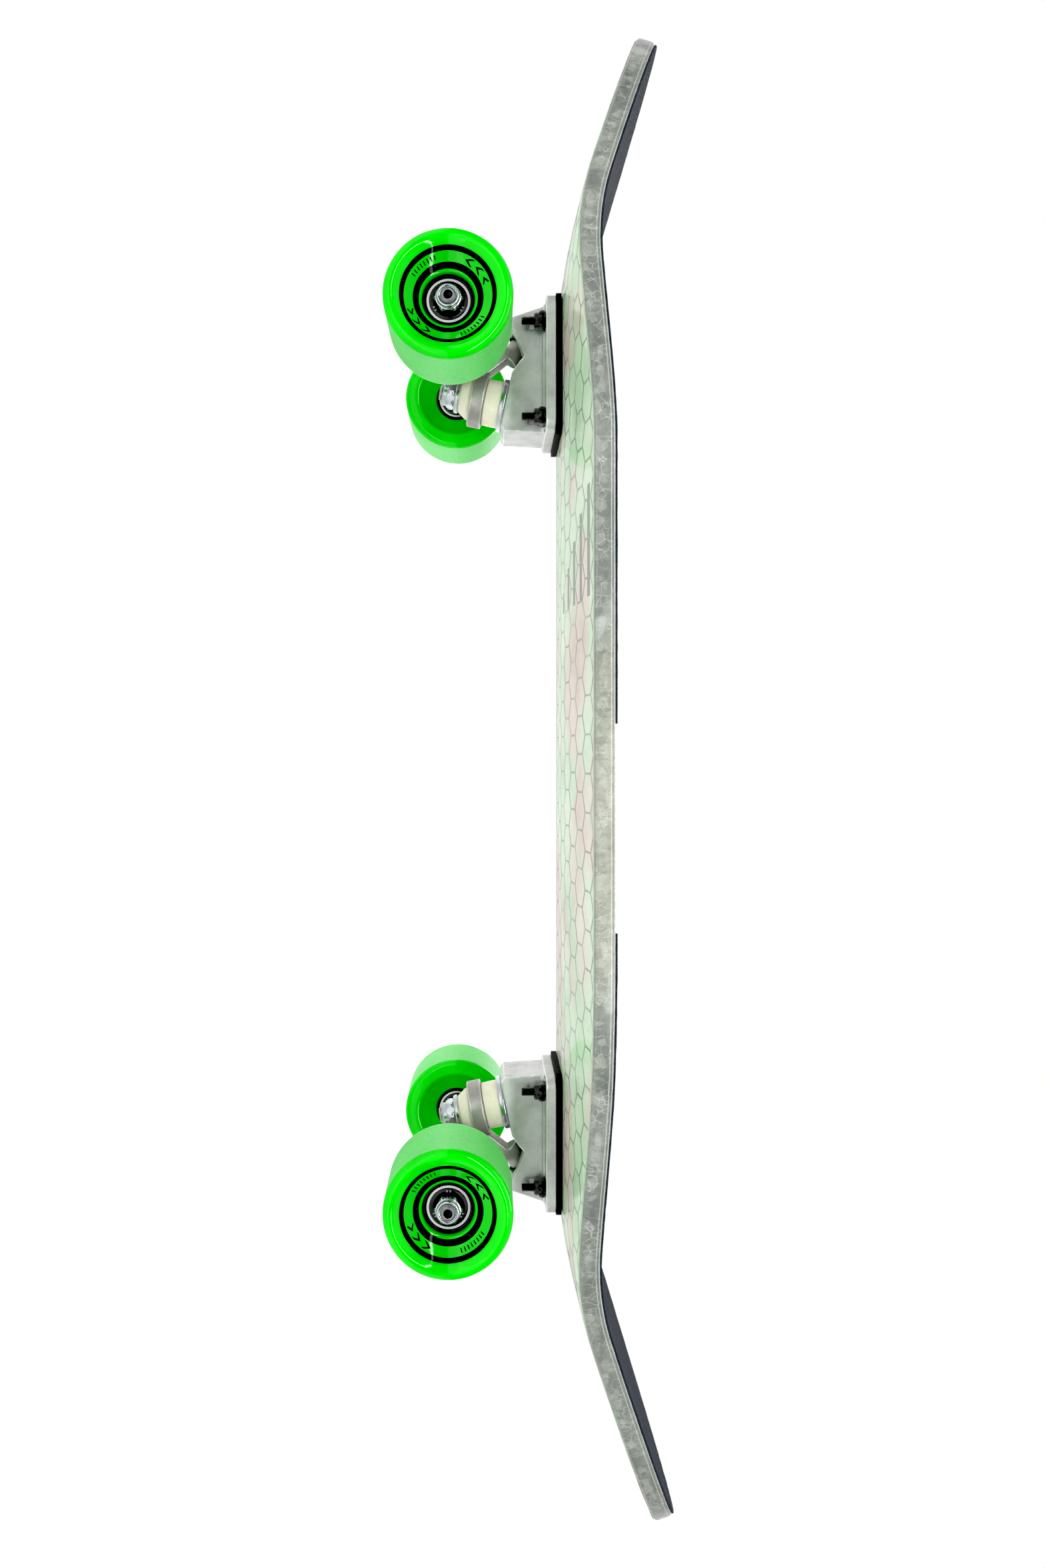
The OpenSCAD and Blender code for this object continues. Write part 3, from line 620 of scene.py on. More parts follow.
def wheel_urethane():
    """Green urethane with two printed black rings and plain generic marks between them."""
    p = Paint("wheel_urethane", ior=1.5)
    r, angle = polar(p)
    z = p.axis("Z")
    face = p.math("GREATER_THAN", z, LIP_OUT - 12)
    print_on = p.window(r, *RING_OUTER, PRINT_SOFT)
    print_on = p.math("MAXIMUM", print_on, p.window(r, *RING_INNER, PRINT_SOFT))
    half_turn = p.math("FRACT", p.times(angle, 2))
    ticks = p.window(p.math("FRACT", p.times(angle, 64)), 0.25, 0.62, 0.04)
    ticks = p.times(ticks, p.window(half_turn, 0.10, 0.34, 0.004))
    ticks = p.times(ticks, p.window(r, *TICKS, PRINT_SOFT))
    middle = sum(CHEVRONS) / 2
    slant = p.times(p.math("ABSOLUTE", p.math("SUBTRACT", r, middle)), 0.32)
    chevron = p.math("ADD", p.times(angle, 20), slant)
    chevron = p.window(p.math("FRACT", chevron), 0.3, 0.62, 0.03)
    chevron = p.times(chevron, p.window(half_turn, 0.60, 0.86, 0.004))
    chevron = p.times(chevron, p.window(r, *CHEVRONS, PRINT_SOFT))
    print_on = p.math("MAXIMUM", print_on, p.math("MAXIMUM", ticks, chevron))
    print_on = p.times(print_on, face)
    wear = p.ramp(p.noise(1.6, detail=5, rough=0.7), (0.26, 0.45), (0.36, 1))
    print_on = p.times(print_on, wear)
    cast = p.noise(26, detail=3)
    color = p.ramp(cast, (0.3, rgb(0, 206, 3)), (0.5, rgb(0, 218, 4)), (0.7, rgb(3, 228, 7)))
    tread = p.times(p.window(r, WHEEL_R - 0.35, WHEEL_R + 2, 0.25),
                    p.window(z, LIP_IN + LIP_R - 0.5, LIP_OUT - LIP_R + 0.5, 1.0))
    # The tread is painted paler green: partly real scuffing, partly painted sheen where the tread catches
    # light at a glancing angle.
    rubbed = p.ramp(p.noise(1.1, detail=5, rough=0.7), (0.3, 0.3), (0.7, 0.75))
    scuff_and_sheen = p.times(tread, rubbed)
    color = p.mix(scuff_and_sheen, color, rgb(138, 235, 146))
    # Painted shade: the dish and the recess round the hub are painted a darker green.
    dish = p.times(face, p.window(r, 0, 25.2, 1.2))
    color = p.over(color, dish, 0.45, 0, 150, 12)
    # Painted shade: the hollow on the inner side is painted a darker green.
    inner = p.times(p.math("LESS_THAN", z, LIP_IN + 12), p.math("LESS_THAN", r, 24.5))
    color = p.over(color, inner, 0.35, 0, 150, 10)
    p.set("color", p.mix(print_on, color, rgb(7, 8, 8)))
    p.set("specular", p.math("SUBTRACT", 0.5, p.times(print_on, 0.4)))
    satin = p.ramp(p.noise(2), (0.3, 0.34), (0.7, 0.5))
    p.set("roughness", p.mix(tread, p.ramp(p.noise(6), (0.3, 0.06), (0.7, 0.12)), satin))
    wave = p.bump(p.noise(9, detail=2), 0.12, 0.3)
    wave = p.bump(print_on, 0.03, 0.8, under=wave)
    p.bump(p.times(p.noise(0.5, detail=3), tread), 0.04, 0.6, under=wave)
    return p.material


def cream_urethane():
    """Bushings: waxy, and a little light passes into them."""
    p = Paint("cream_urethane", glow=0.12, ior=1.5)
    p.shader.inputs["Subsurface Radius"].default_value = (0.004, 0.003, 0.002)
    p.set("color", p.ramp(p.noise(5, detail=4), (0.3, rgb(234, 229, 206)),
                          (0.7, rgb(244, 241, 222))))
    p.roughen(p.noise(3), 0.24, 0.4)
    p.bump(p.noise(1.2, detail=4), 0.05, 0.4)
    return p.material


# ---- Deck -----------------------------------------------------------------

def end_w(x, tip, taper, full, blunt):
    inside = np.clip(1 - (tip - x) / taper, 0, 1)
    return DECK_W / 2 * np.power(1 - np.power(inside, full), 1 / blunt)


def half_w(x):
    return np.where(x > 0, end_w(x, NOSE_LEN, NOSE_TAPER, NOSE_FULL, NOSE_BLUNT),
                    end_w(-x, TAIL_LEN, TAIL_TAPER, TAIL_FULL, TAIL_BLUNT))


def deck_point(x, y, n):
    """World point at height n above the underside, square to it along the kicks."""
    d = np.abs(x)
    over = np.maximum(0, d - KICK_START)
    slope = np.arcsin(np.minimum(math.sin(KICK_ANGLE), over / KICK_R))
    rise = KICK_R * (1 - np.cos(slope)) + np.maximum(
        0, over - KICK_R * math.sin(KICK_ANGLE)) * math.tan(KICK_ANGLE)
    fade = 1 / (1 + (np.maximum(0, d - CONCAVE_HOLD) / CONCAVE_EASE) ** 2)
    side = np.maximum(0, np.abs(y) - CONCAVE_FLAT) / (DECK_W / 2 - CONCAVE_FLAT)
    z = DECK_Z + rise + CONCAVE_H * fade * side ** CONCAVE_POWER + n * np.cos(slope)
    return np.stack([DECK_MID + x - np.sign(x) * n * np.sin(slope), y + 0 * x, z], -1)


def outline(steps):
    """Left half of the deck's edge from tail to nose: x, half width, and the way out (nx, ny)."""
    reach = (NOSE_LEN + TAIL_LEN) / 2 - TIP_GAP
    x = -DECK_MID + reach * np.sin(math.pi / 2 * np.linspace(-1, 1, steps + 1))
    w = half_w(x)
    dx, dw = np.gradient(x), np.gradient(w)
    length = np.hypot(dx, dw)
    return x, w, -dw / length, dx / length


def ragged_edge(x, w):
    """How far a torn sheet's edge wanders, from -1.6 to 1.6."""
    return np.array([noise.noise((a * 0.9, b * 0.9, 1.7)) + 0.6 * noise.noise((a * 2.1, b, 4.1))
                     for a, b in zip(x, w)])


def deck_sheet(name, levels, ragged=0.0, keep=None, rough_top=0.0):
    """A closed sheet that follows the deck. levels are (height, edge inset) from the underside up;
    keep(x, y) may move x, to end the sheet at a cut."""
    x, w, nx, ny = outline(SHEET_STEPS)
    t = np.linspace(-1, 1, SHEET_COLUMNS + 1)
    rows = []
    for level, (n, inset) in enumerate(levels):
        jitter = ragged_edge(x, w) * ragged if ragged else np.zeros_like(x)
        edge_x = x - (inset + jitter) * nx
        edge_w = np.maximum(0.2, w - (inset + jitter) * ny)
        gx = np.repeat(edge_x[:, None], SHEET_COLUMNS + 1, 1)
        gy = edge_w[:, None] * t[None, :]
        if keep:
            gx = keep(gx, gy)
        height = np.full_like(gx, float(n))
        if rough_top and level == len(levels) - 1:
            height += rough_top * np.vectorize(
                lambda a, b: noise.noise((a * 0.35, b * 0.35, 0.3)))(gx, gy)
        rows.append(deck_point(gx, gy, height))
    count, cols = len(x), SHEET_COLUMNS + 1
    size = count * cols
    top = (len(levels) - 1) * size
    ring = ([i * cols for i in range(count)] + [(count - 1) * cols + j for j in range(1, cols)]
            + [i * cols + cols - 1 for i in range(count - 2, -1, -1)]
            + list(range(cols - 2, 0, -1)))
    faces = grid_faces(count, cols) + grid_faces(count, cols, first=top)
    for level in range(len(levels) - 1):
        a, b = level * size, (level + 1) * size
        faces += [(a + here, a + after, b + after, b + here)
                  for here, after in zip(ring, ring[1:] + ring[:1])]
    return mesh(name, np.concatenate([r.reshape(-1, 3) for r in rows]), faces, 50)


def rail_ring(name):
    """The resin band round the edge, rounded outside and gently rippled."""
    x, w, nx, ny = outline(RAIL_STEPS)
    px, py = np.concatenate([x, x[::-1]]), np.concatenate([w, -w[::-1]])
    ox, oy = np.concatenate([nx, nx[::-1]]), np.concatenate([ny, -ny[::-1]])
    low, high = SKIN_T, DECK_T - SKIN_T
    corner = [(1.9 * (1 - math.cos(a)), 0.7 * (1 - math.sin(a)))
              for a in np.linspace(0.35, math.pi / 2, 5)]
    profile = ([(low, RAIL_W), (low, 2.4), (low, 0.85)]
               + [(low + rise + 0.1, inset) for rise, inset in corner]
               + [(n, 0) for n in np.linspace(3.4, 7.8, 6)]
               + [(high - rise - 0.1, inset) for rise, inset in reversed(corner)]
               + [(high, 0.85), (high, 2.4), (high, RAIL_W)])
    points, heights = [], []
    for a, b, c, d in zip(px, py, ox, oy):
        for n, inset in profile:
            ripple = 0.0
            if inset < 1:
                ripple = (0.11 * noise.noise((a / 9, b / 9, n / 4))
                          + 0.05 * noise.noise((a / 3, b / 3, n / 2)))
            out = ripple - inset
            y = b + out * d
            points.append(deck_point(np.array(a + out * c), np.array(y), np.array(float(n))))
            heights.append(n)
    faces = grid_faces(len(px), len(profile), close_rows=True, close_cols=True)
    return mesh(name, np.array(points), faces, 50, values=heights)


def honeycomb(name):
    """Hexagonal tubes from skin to skin, trimmed to the deck's outline."""
    low, high = CELL_GAP, DECK_T - CELL_GAP
    corner_r = CELL_PITCH / 1.5
    side_steps = 3
    corners = [np.array((CELL_LEN / math.sqrt(3) * math.sin(math.radians(60 * k)),
                         corner_r * math.cos(math.radians(60 * k)))) for k in range(6)]
    loop = np.array([a * (1 - s / side_steps) + b * s / side_steps
                     for a, b in zip(corners, corners[1:] + corners[:1])
                     for s in range(side_steps)])
    shrink = 1 - CELL_WALL / CELL_LEN
    count = len(loop)
    points, faces = [], []
    for column in range(-8, 8):
        cy = CELL_Y + column * 1.5 * corner_r
        for row in range(-24, 25):
            cx = (row + ((column + 1) % 2) / 2) * CELL_LEN
            if not -TAIL_LEN + 5 < cx < NOSE_LEN - 5 or abs(cy) > half_w(np.array(cx)) + 6:
                continue
            first = len(points) * count
            for scale, n in ((1, low), (shrink, low), (shrink, high), (1, high)):
                x = np.clip(cx + loop[:, 0] * scale, -TAIL_LEN + 3, NOSE_LEN - 3)
                limit = np.maximum(0.5, half_w(x) - CELL_INSET)
                y = np.clip(cy + loop[:, 1] * scale, -limit, limit)
                points.append(deck_point(x, y, np.full(count, float(n))))
            faces += grid_faces(4, count, close_cols=True, first=first)
    return mesh(name, np.concatenate(points), faces, 30)


def cut_front(x, y):
    return np.maximum(x, STRIP_FRONT - STRIP_SLOPE * np.abs(y))


def cut_rear(x, y):
    return np.minimum(x, STRIP_REAR + STRIP_SLOPE * np.abs(y))


def deck():
    under_levels = [(0, 2.0), (0.04, 1.55), (0.16, 1.2), (0.42, 0.92), (0.8, 0.78)]
    top_levels = [(10.2, 0.72), (10.6, 0.74), (10.85, 0.82), (10.97, 0.95), (11, 1.15)]
    skin_look = clear_skin("underside_fibreglass", 0.26)
    piece("honeycomb_cells", honeycomb("honeycomb_cells"), cell_wall(), "deck",
          replaces=["honeycomb_core"])
    for name, low, high, bars in (("printed_film_lower", 0.32, 0.5, BARS),
                                  ("printed_film_upper", 10.5, 10.68, 0)):
        piece(name, deck_sheet(name, [(low, 1.4), (high, 1.4)]), cloudy_film(name, bars), "deck")
    piece("underside_skin", deck_sheet("underside_skin", under_levels), skin_look, "deck",
          replaces=["deck_bottom_skin"])
    piece("resin_rail", rail_ring("resin_rail"), rail_resin(), "deck", replaces=["edge_rail"])
    piece("top_skin", deck_sheet("top_skin", top_levels), clear_skin("top_fibreglass", 0.5), "deck",
          replaces=["deck_top_skin"])
    levels = [(DECK_T + 0.02, GRIP_INSET), (DECK_T + 0.5, GRIP_INSET + 0.05),
              (DECK_T + GRIP_T, GRIP_INSET + 0.2)]
    grit = grip_grit()
    for name, node, cut in (("front_grip_sheet", "grip_front", cut_front),
                            ("rear_grip_sheet", "grip_rear", cut_rear)):
        data = deck_sheet(name, levels, ragged=0.35, keep=cut, rough_top=0.12)
        drill(data)
        piece(name, data, grit, "deck", replaces=[node])


def bolt_points(end, height):
    """World points on a truck's four bolt axes, at one height."""
    for x in (-BOLT_X / 2, BOLT_X / 2):
        for y in (-BOLT_Y / 2, BOLT_Y / 2):
            yield truck_place(end) @ Vector(((BOLT_MID + x) * MM, y * MM, height * MM))


def drill(data):
    """Clears the grip round the eight bolt heads."""
    hole_r, depth, below = 4.85, 8, 2
    tool_data = bpy.data.meshes.new("drill")
    with editing(tool_data, tool_data) as bm:
        for end in (-1, 1):
            for at in bolt_points(end, DECK_Z + DECK_T - below):
                bmesh.ops.create_cone(bm, cap_ends=True, segments=48, radius1=hole_r * MM,
                                      radius2=hole_r * MM, depth=depth * MM,
                                      matrix=Matrix.Translation(at + Vector((0, 0, below * MM))))
    tool = linked("drill", tool_data)
    work = linked("work", data.copy())
    cut = work.modifiers.new("holes", "BOOLEAN")
    cut.operation = "DIFFERENCE"
    cut.solver = "EXACT"
    cut.object = tool
    with editing(evaluated(work), data):
        bpy.data.objects.remove(tool)
    smooth(data, 50)


# ---- Trucks ---------------------------------------------------------------

def lock_nut_profile(af, h, bore):
    """A hexagon with chamfered corners and a rolled collar that holds a nylon ring."""
    body = h * 0.62
    shape = [(0.47, 0), (0.5, 0.15), (0.6, 0.9), (0.6, body - 1.0), (0.5, body - 0.1),
             (0.47, body), (0.462, body + 0.3), (0.462, h - 0.8), (0.45, h - 0.3),
             (0.425, h - 0.05), (0.39, h), (0.365, h - 0.15), (0.35, h - 0.5)]
    return [(bore, 0)] + [(af * part, z) for part, z in shape] + [(bore, h - 0.6)]


def rod_profile(r, start, end, pitch, chamfer):
    """A rod from start to end, with rows close enough for its thread."""
    rows = [(r, z) for z in np.arange(start, end - chamfer, pitch / 6)]
    return rows + [(r - 0.2, end - chamfer), (r - chamfer, end - 0.05),
                   (r - chamfer - 0.15, end), (r * 0.62, end), (r * 0.57, end - 0.15),
                   (r * 0.52, end - 1.3), (0, end - 1.5)]


def cupped_washer(r, height, soften):
    """A kingpin washer with a low rim, from its flat side up."""
    return rounded([(5.2, 0), (r - 0.6, 0), (r, 0.6), (r, height), (r - 1.2, height),
                    (r - 1.2, WASHER_T), (5.2, WASHER_T)], soften)


def truck(end, looks):
    label, body = ("front", "front_truck") if end > 0 else ("rear", "rear_truck")

    def node(part):
        return f"{label}_{part}"

    def keep(part, data, look, on, slot, place=None):
        return piece(node(part) + "_finish", data, looks[look], on, place, [node(part)])

    def between(part, profile, low, high, start, stop):
        """A bushing that bends between two bodies, over the heights low to high."""
        soft = piece(node(part) + "_finish", soft_ring("bushing", profile), looks["cream"], None,
                     place, [node(part)])
        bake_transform(soft, start, stop, place @ Vector((0, 0, low * MM)),
                 place @ Vector((0, 0, high * MM)))

    keep("baseplate", casting(node("baseplate"), 4), "plate", "deck", "cast_aluminium")
    keep("hanger", casting(node("hanger"), 7), "hanger", body, "cast_aluminium")
    keep("riser_pad", bevelled(node("riser_pad"), 0.35), "rubber", "deck", "pad_rubber")
    keep("pivot_cup", bevelled(node("pivot_cup"), 0.3), "cup", "deck", "cup_plastic")
    for part, make in (("mounting_bolts", bolts_mesh), ("mounting_nuts", nuts_mesh)):
        keep(part, make(node(part), end), "black", "deck", "black_hardware")

    place = kingpin_place(end)
    head_end = KINGPIN_TOP + 5
    pin = [(0, KINGPIN_TOP), (KINGPIN_AF * 0.47, KINGPIN_TOP), (KINGPIN_AF * 0.6, KINGPIN_TOP + 1),
           (KINGPIN_AF * 0.6, head_end), (KINGPIN_R, head_end), (KINGPIN_R, 6)]
    pin += rod_profile(KINGPIN_R, 8, KINGPIN_END, 1.25, 0.9)
    keep("kingpin", turned("kingpin", pin, 72, hexagon=KINGPIN_AF,
                           thread=(8, KINGPIN_END - 1, 1.25, 0.45)),
         "kingpin", "deck", "kingpin_steel", place)
    cup = cupped_washer(15, 3.1, 0.4)
    keep("boardside_washer", turned("washer", [(r, SEAT + z) for r, z in cup], closed=True),
         "zinc", "deck", "zinc", place)
    cup = cupped_washer(9.5, 2.5, 0.35)
    road_top = ROAD_STACK + WASHER_T
    keep("roadside_washer", turned("washer", [(r, road_top - z) for r, z in cup], closed=True),
         "zinc", "deck", "zinc", place)
    low, top = SEAT + WASHER_T, -RING_T / 2
    barrel = [(4.9, low), (13, low), (13.15, (low + top) / 2), (13, top), (4.9, top)]
    between("boardside_bushing", rounded(barrel, 0.9, 4), low, top, "deck", body)
    low, top = RING_T / 2, ROAD_STACK
    cone = [(4.9, low), (12, low), (11.9, low + 1.6), (8.1, top - 0.8), (8, top), (4.9, top)]
    between("roadside_bushing", rounded(cone, 0.8, 4), low, top, body, "deck")
    nut = [(r, road_top + z) for r, z in lock_nut_profile(KINGPIN_AF, 7.5, KINGPIN_R + 0.02)]
    keep("kingpin_nut", turned("nut", nut, hexagon=KINGPIN_AF, closed=True), "zinc", "deck",
         "zinc", place)

    across = truck_place(end) @ shift(0, 0, AXLE_Z) @ turn(-90, "X")
    half = rod_profile(AXLE_R, AXLE_END - AXLE_THREAD, AXLE_END, 1.0, 0.8)
    ends = [(r, -z) for r, z in reversed(half)] + half
    thread = (AXLE_END - AXLE_THREAD, AXLE_END - 0.9, 1.0, 0.4)
    keep("axle", turned("axle", ends, 60, thread=thread), "axle", body, "axle_steel", across)
    bore = AXLE_R + 0.02
    washer = rounded([(bore, 0), (5.6, 0), (5.6, 0.8), (bore, 0.8)], 0.15, 2)
    nut = lock_nut_profile(AXLE_NUT_AF, 6.5, bore)
    washers, nuts = [], []
    for side in (-1, 1):
        for at in (HUB_IN - 0.8, HUB_OUT):
            washers.append(ring_points(washer, at, side))
        nuts.append(ring_points(nut, HUB_OUT + 0.8, side, AXLE_NUT_AF))
    keep("speed_washers", joined("speed_washers", washers), "zinc", body, "zinc", across)
    keep("axle_nuts", joined("axle_nuts", nuts), "zinc", body, "zinc", across)


def soft_ring(name, profile):
    """A closed ring with enough rows along its height to bend."""
    dense = []
    for k, a in enumerate(profile):
        b = profile[(k + 1) % len(profile)]
        steps = max(1, int(abs(b[1] - a[1]) / 0.9))
        dense += [(a[0] + (b[0] - a[0]) * s / steps, a[1] + (b[1] - a[1]) * s / steps)
                  for s in range(steps)]
    return turned(name, dense, closed=True)


def ring_points(profile, at, side, hexagon=None):
    """(points, faces) of a turned ring at a distance along the axle, on one side."""
    points, faces = taken(turned("part", [(r, at + z) for r, z in profile], hexagon=hexagon,
                                 closed=True))
    points[:, 2] *= side
    return points, faces


def taken(data):
    """(points, faces) of a mesh, which is removed."""
    points = np.array([v.co for v in data.vertices]) / MM
    faces = [tuple(f.vertices) for f in data.polygons]
    bpy.data.meshes.remove(data)
    return points, faces


def joined(name, parts):
    """Several (points, faces) as one mesh."""
    points, faces, first = [], [], 0
    for p, f in parts:
        points.append(p)
        faces += [tuple(first + v for v in face) for face in f]
        first += len(p)
    return mesh(name, np.concatenate(points), faces)


def repeated(name, data, end):
    """A mesh made round a bolt's axis at the ground, at each of a truck's four bolts."""
    points, faces = taken(data)
    return joined(name, [(points + np.array(at) / MM, faces) for at in bolt_points(end, 0)])


def bolts_mesh(name, end):
    """Four countersunk bolts with round sockets, threaded at the tail."""
    tail = BASE_TOP - FLANGE_T - NUT_H - 7
    top = DECK_Z + DECK_T + GRIP_T
    rows = [(0, tail), (BOLT_R - 0.5, tail)]
    rows += [(BOLT_R, z) for z in np.arange(tail + 0.5, tail + BOLT_THREAD, 0.8 / 6)]
    rows += [(BOLT_R, top - 2.9), (4.62, top - 0.12), (4.55, top), (1.85, top), (1.7, top - 0.15),
             (1.7, top - 2), (0, top - 2.1)]
    data = turned(name, rows, 48, thread=(tail + 0.4, tail + BOLT_THREAD, 0.8, 0.36))
    return repeated(name, data, end)


def nuts_mesh(name, end):
    """The four lock nuts, hanging under the baseplate's flange."""
    rows = [(r, BASE_TOP - FLANGE_T - z)
            for r, z in lock_nut_profile(BOLT_NUT_AF, NUT_H, BOLT_R + 0.02)]
    data = turned(name, rows, 72, hexagon=BOLT_NUT_AF, closed=True)
    return repeated(name, data, end)


# ---- Wheels ---------------------------------------------------------------

def tyre_mesh(name):
    """Urethane with rounded lips, a dished outside, a hollow inside and a groove for the core."""
    centre = WHEEL_R - LIP_R
    dish_r = centre - LIP_R * math.sin(DISH)
    dish_z = LIP_OUT - LIP_R + LIP_R * math.cos(DISH)
    foot_z = dish_z - (dish_r - CORE_R) * math.tan(DISH)
    slope = []
    for t in np.linspace(0.02, 0.9, 16):
        r = CORE_R + (dish_r - CORE_R) * t
        hollow = 0.7 * math.sin(math.pi * t)
        slope.append((r, foot_z + (dish_z - foot_z) * t - hollow))
    outer = arc(centre, LIP_OUT - LIP_R, LIP_R, 90 + math.degrees(DISH) - 2, 0, 20)
    tread = [(WHEEL_R, z) for z in np.linspace(LIP_OUT - LIP_R - 2, LIP_IN + LIP_R + 2, 12)]
    inner = arc(centre, LIP_IN + LIP_R, LIP_R, 0, -90, 16)
    mouth_r, mouth_z, floor_r = 22.4, LIP_IN + 1.6, 15.5
    recess = [(25.5, LIP_IN), (24.2, LIP_IN + 0.1), (23.2, LIP_IN + 0.6), (mouth_r, mouth_z)]
    recess += [(mouth_r + (floor_r - mouth_r) * t, mouth_z + (HUB_IN - 1.6 - mouth_z) * t)
               for t in (0.3, 0.6, 0.9)]
    hub = [(15.0, HUB_IN - 1.4), (14.2, HUB_IN - 0.9), (CORE_R, HUB_IN - 0.4),
           (CORE_R, HUB_IN + CORE_STEP), (CORE_STEP_R, HUB_IN + CORE_STEP),
           (CORE_STEP_R, HUB_OUT - CORE_STEP), (CORE_R, HUB_OUT - CORE_STEP),
           (CORE_R, HUB_OUT + 0.4), (CORE_R + 0.1, foot_z - 0.5)]
    return turned(name, hub + slope + outer + tread + inner + recess, 192, closed=True, angle=60)


def core_mesh(name):
    """Plastic core: a thick middle held by the tyre, with a bearing seat at each end."""
    shoulder = BEARING_R - 1.4
    end_r, step_r = CORE_R - 0.05, CORE_STEP_R - 0.05
    profile = [(BEARING_R, HUB_IN - 0.4), (end_r, HUB_IN - 0.4), (end_r, HUB_IN + CORE_STEP),
               (step_r, HUB_IN + CORE_STEP), (step_r, HUB_OUT - CORE_STEP),
               (end_r, HUB_OUT - CORE_STEP), (end_r, HUB_OUT + 0.6),
               (BEARING_R + 0.3, HUB_OUT + 0.6), (BEARING_R, HUB_OUT + 0.2),
               (BEARING_R, HUB_OUT - BEARING_W), (shoulder, HUB_OUT - BEARING_W),
               (shoulder, HUB_IN + BEARING_W), (BEARING_R, HUB_IN + BEARING_W)]
    return turned(name, rounded(profile, 0.2, 2), 144, closed=True)


def shields_mesh(name):
    """Pressed shields: two at each bearing, with a shallow groove."""
    inner_r, below = RACE_IN_R + 0.07, 0.3
    profile = [(inner_r, 0.0), (7.0, 0.0), (7.2, -0.12), (8.6, -0.12), (8.8, 0.0),
               (SHIELD_R, 0.0), (SHIELD_R, 0.4), (inner_r, 0.4)]
    parts = []
    for at, way in ((HUB_IN + below, 1), (HUB_IN + BEARING_W - below, -1),
                    (HUB_OUT - BEARING_W + below, 1), (HUB_OUT - below, -1)):
        parts.append(ring_points([(r, at + way * z) for r, z in profile], 0, 1))
    return joined(name, parts)


def wheel(end, side, meshes, looks):
    label = f"{'front' if end > 0 else 'rear'}_{'left' if side > 0 else 'right'}"
    place, body = wheel_place(end, side), label + "_wheel"
    for part, look, slot in (("tyre", "green", "wheel_urethane"), ("core", "core", "core_plastic")):
        piece(f"{label}_{part}_finish", meshes[part].copy(), looks[look], body, place,
              [f"{label}_{part}"])
    piece(label + "_shields_finish", meshes["shields"].copy(), looks["shield"], body, place,
          [label + "_bearing_shields"])
    for part in ("bearing_races", "bearing_balls", "bearing_hubs"):
        paint_node(f"{label}_{part}", looks["bearing"])


def paint_node(node, look):
    """Puts a material on a CAD node that is shown as it is."""
    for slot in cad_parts[node].material_slots:
        slot.material = look


# ---- Stage ----------------------------------------------------------------

def light(name, at, size, power, target):
    lamp = bpy.data.lights.new(name, "AREA")
    lamp.shape = "RECTANGLE"
    lamp.size, lamp.size_y = size
    lamp.energy = power
    obj = linked(name, lamp)
    obj.location = at
    obj.rotation_euler = (Vector(target) - Vector(at)).to_track_quat("-Z", "Y").to_euler()


def floor():
    """A plain pale floor, lit from within so that no edge or shadow shows, and clear from below."""
    half = 30.0
    data = bpy.data.meshes.new("floor")
    data.from_pydata([(-half, -half, 0), (half, -half, 0), (half, half, 0), (-half, half, 0)], [],
                     [(0, 1, 2, 3)])
    obj = linked("floor", data)
    obj.location.z = -STEER_DIP * MM
    p = Paint("pale_floor", roughness=0.9, specular=0.1)
    p.set("color", p.ramp(p.noise(400), (0.3, 0.72), (0.7, 0.75)))
    p.shader.inputs["Emission Color"].default_value = grey(1)
    seen = p.add("LightPath").outputs["Is Camera Ray"]
    backdrop = p.spread(p.axis("Y"), 400.0, -500.0, 0.0, 0.6)
    p.plug(p.shader.inputs["Emission Strength"],
           p.math("MAXIMUM", p.times(seen, 1.1), backdrop))
    behind = p.add("NewGeometry").outputs["Backfacing"]
    through = p.add("MixShader", {0: behind, 1: p.shader.outputs[0],
                                  2: p.add("BsdfTransparent").outputs[0]})
    p.tree.links.new(through.outputs[0], p.tree.nodes["Material Output"].inputs["Surface"])
    data.materials.append(p.material)
    obj.visible_shadow = False


def sky():
    """White to the camera; to the board, a dim room with a bright ceiling and a bright far wall."""
    world = bpy.data.worlds.new("studio")
    scene.world = world
    world.use_nodes = True
    g = Graph(world.node_tree)
    background = g.tree.nodes["Background"].inputs
    background["Color"].default_value = grey(1)
    way = g.add("SeparateXYZ", {0: g.add("TexCoord").outputs["Generated"]}).outputs
    ceiling = g.spread(way["Z"], 0.1, 0.85, 0.16, 0.85)
    wall = g.spread(way["Y"], 0.15, -0.5, 0.16, 0.9)
    seen = g.add("LightPath").outputs["Is Camera Ray"]
    level = g.add("Mix", {"Factor": seen, "A": g.math("MAXIMUM", ceiling, wall), "B": 1.0})
    g.plug(background["Strength"], level.outputs["Result"])


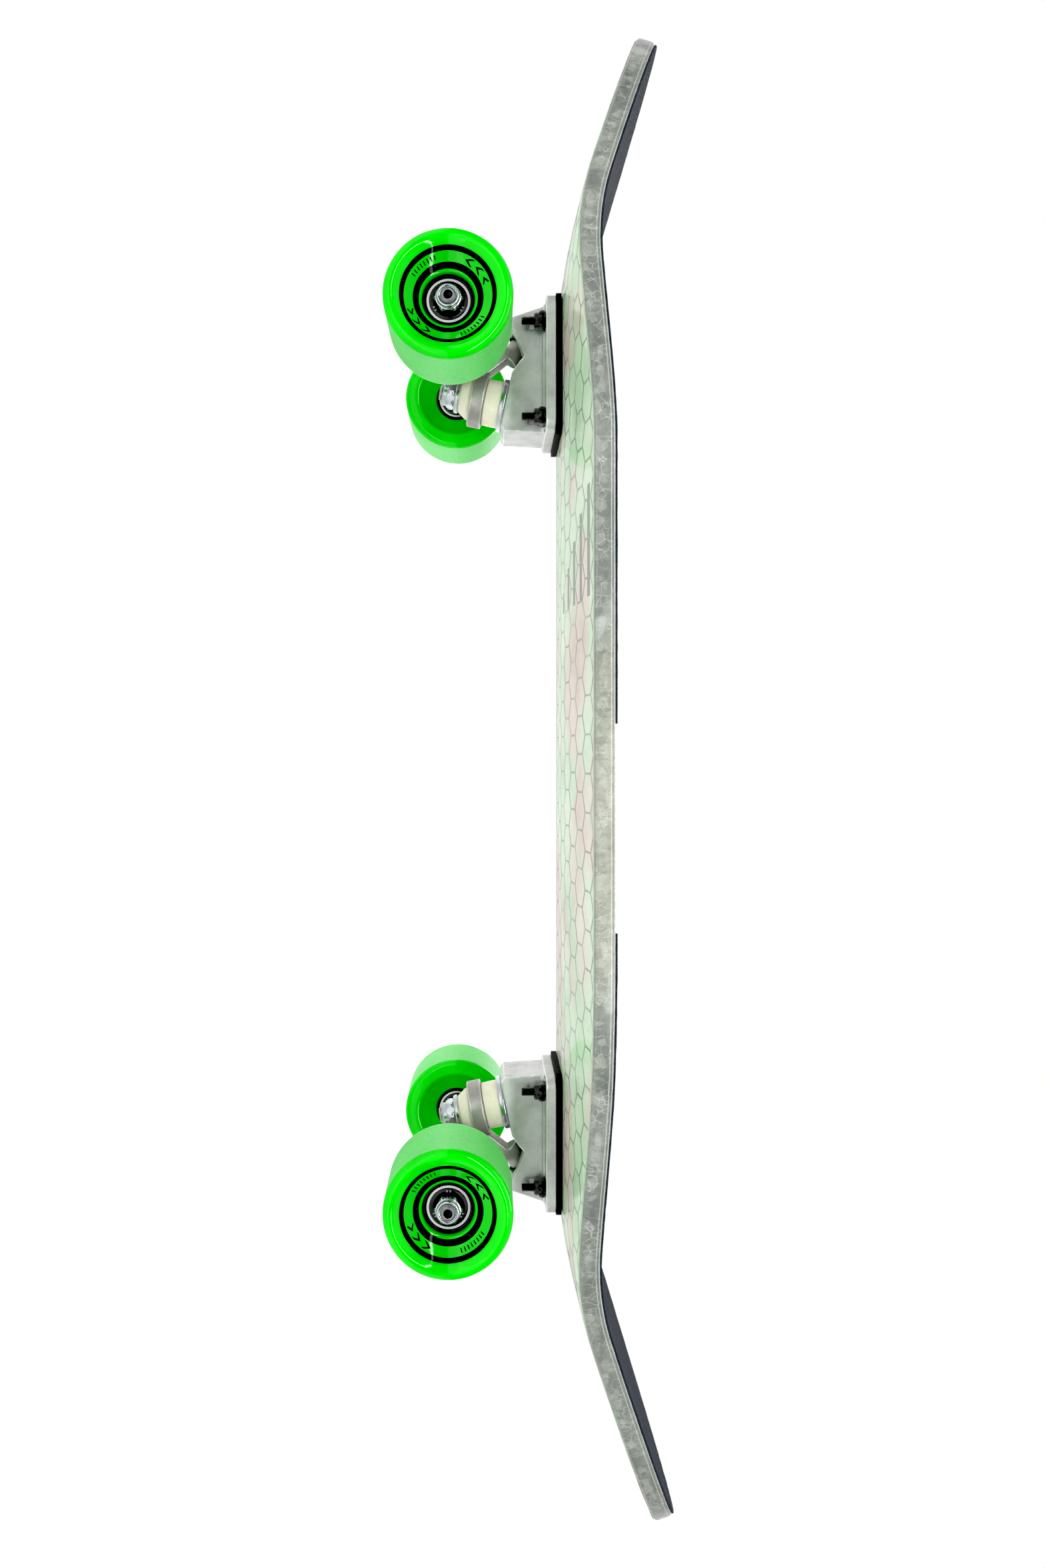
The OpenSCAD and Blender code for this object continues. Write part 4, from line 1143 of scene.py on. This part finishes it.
def stage():
    floor()
    sky()
    black_level = 0.028
    scene.view_settings.view_transform = "Standard"
    scene.view_settings.use_curve_mapping = True
    scene.view_settings.curve_mapping.black_level = (black_level,) * 3
    light("strip_high", (0, 1.05, 0.5), (1.5, 0.05), 5, (0, 0, 0.05))
    light("strip_low", (0, 1.05, -0.38), (1.5, 0.05), 5, (0, 0, 0.05))
    light("top", (0, 0.1, 1.8), (1.6, 0.8), 12, (0, 0, 0))
    light("back", (0.3, -1.6, 1.0), (1.6, 0.5), 8, (0, 0, 0.05))


def camera():
    """Beside the board at truck height, rolled so that the nose points up in the picture. The focal
    length and the aim are in the photograph's pixels, and the distances in metres."""
    data = bpy.data.cameras.new("camera")
    obj = linked("camera", data)
    picture_h, focal, aim_right, aim_up = 2352, 1620, 54, 45
    away, height = 0.630, 0.0516
    data.lens = focal * data.sensor_width / picture_h
    data.shift_x = aim_right / picture_h
    data.shift_y = -aim_up / picture_h
    data.clip_start = 0.01
    obj.matrix_world = Matrix(((0, 1, 0, DECK_MID * MM), (0, 0, 1, away), (1, 0, 0, height),
                               (0, 0, 0, 1)))
    scene.camera = obj


# ---- The board ------------------------------------------------------------

looks = {
    "plate": cast_aluminium("baseplate_aluminium", 218, 0),
    # The hanger's tone is lower than the baseplate's: partly its own warmer grey, partly painted shade of
    # its arm under the deck.
    "hanger": cast_aluminium("hanger_aluminium", 170, 3, 0.7),
    "rubber": black_plastic("riser_rubber", 0.65, 6),
    "cup": black_plastic("pivot_cup_plastic", 0.3),
    "core": black_plastic("core_nylon", 0.28, 10),
    "black": black_metal(),
    "kingpin": bright_steel("kingpin_steel", rgb(196, 196, 194), 0.22),
    "axle": bright_steel("axle_steel", rgb(140, 141, 143), 0.3, bore=2.25),
    "zinc": bright_steel("zinc_plate", rgb(202, 207, 212), 0.12),
    "bearing": bright_steel("bearing_steel", rgb(225, 226, 224), 0.2),
    "shield": shield_black(),
    "cream": cream_urethane(),
    "green": wheel_urethane(),
}
wheel_meshes = {"tyre": tyre_mesh("tyre"), "core": core_mesh("core"),
                "shields": shields_mesh("shields")}
deck()
for fore_aft in (1, -1):
    truck(fore_aft, looks)
    for left_right in (1, -1):
        wheel(fore_aft, left_right, wheel_meshes, looks)
stage()
camera()
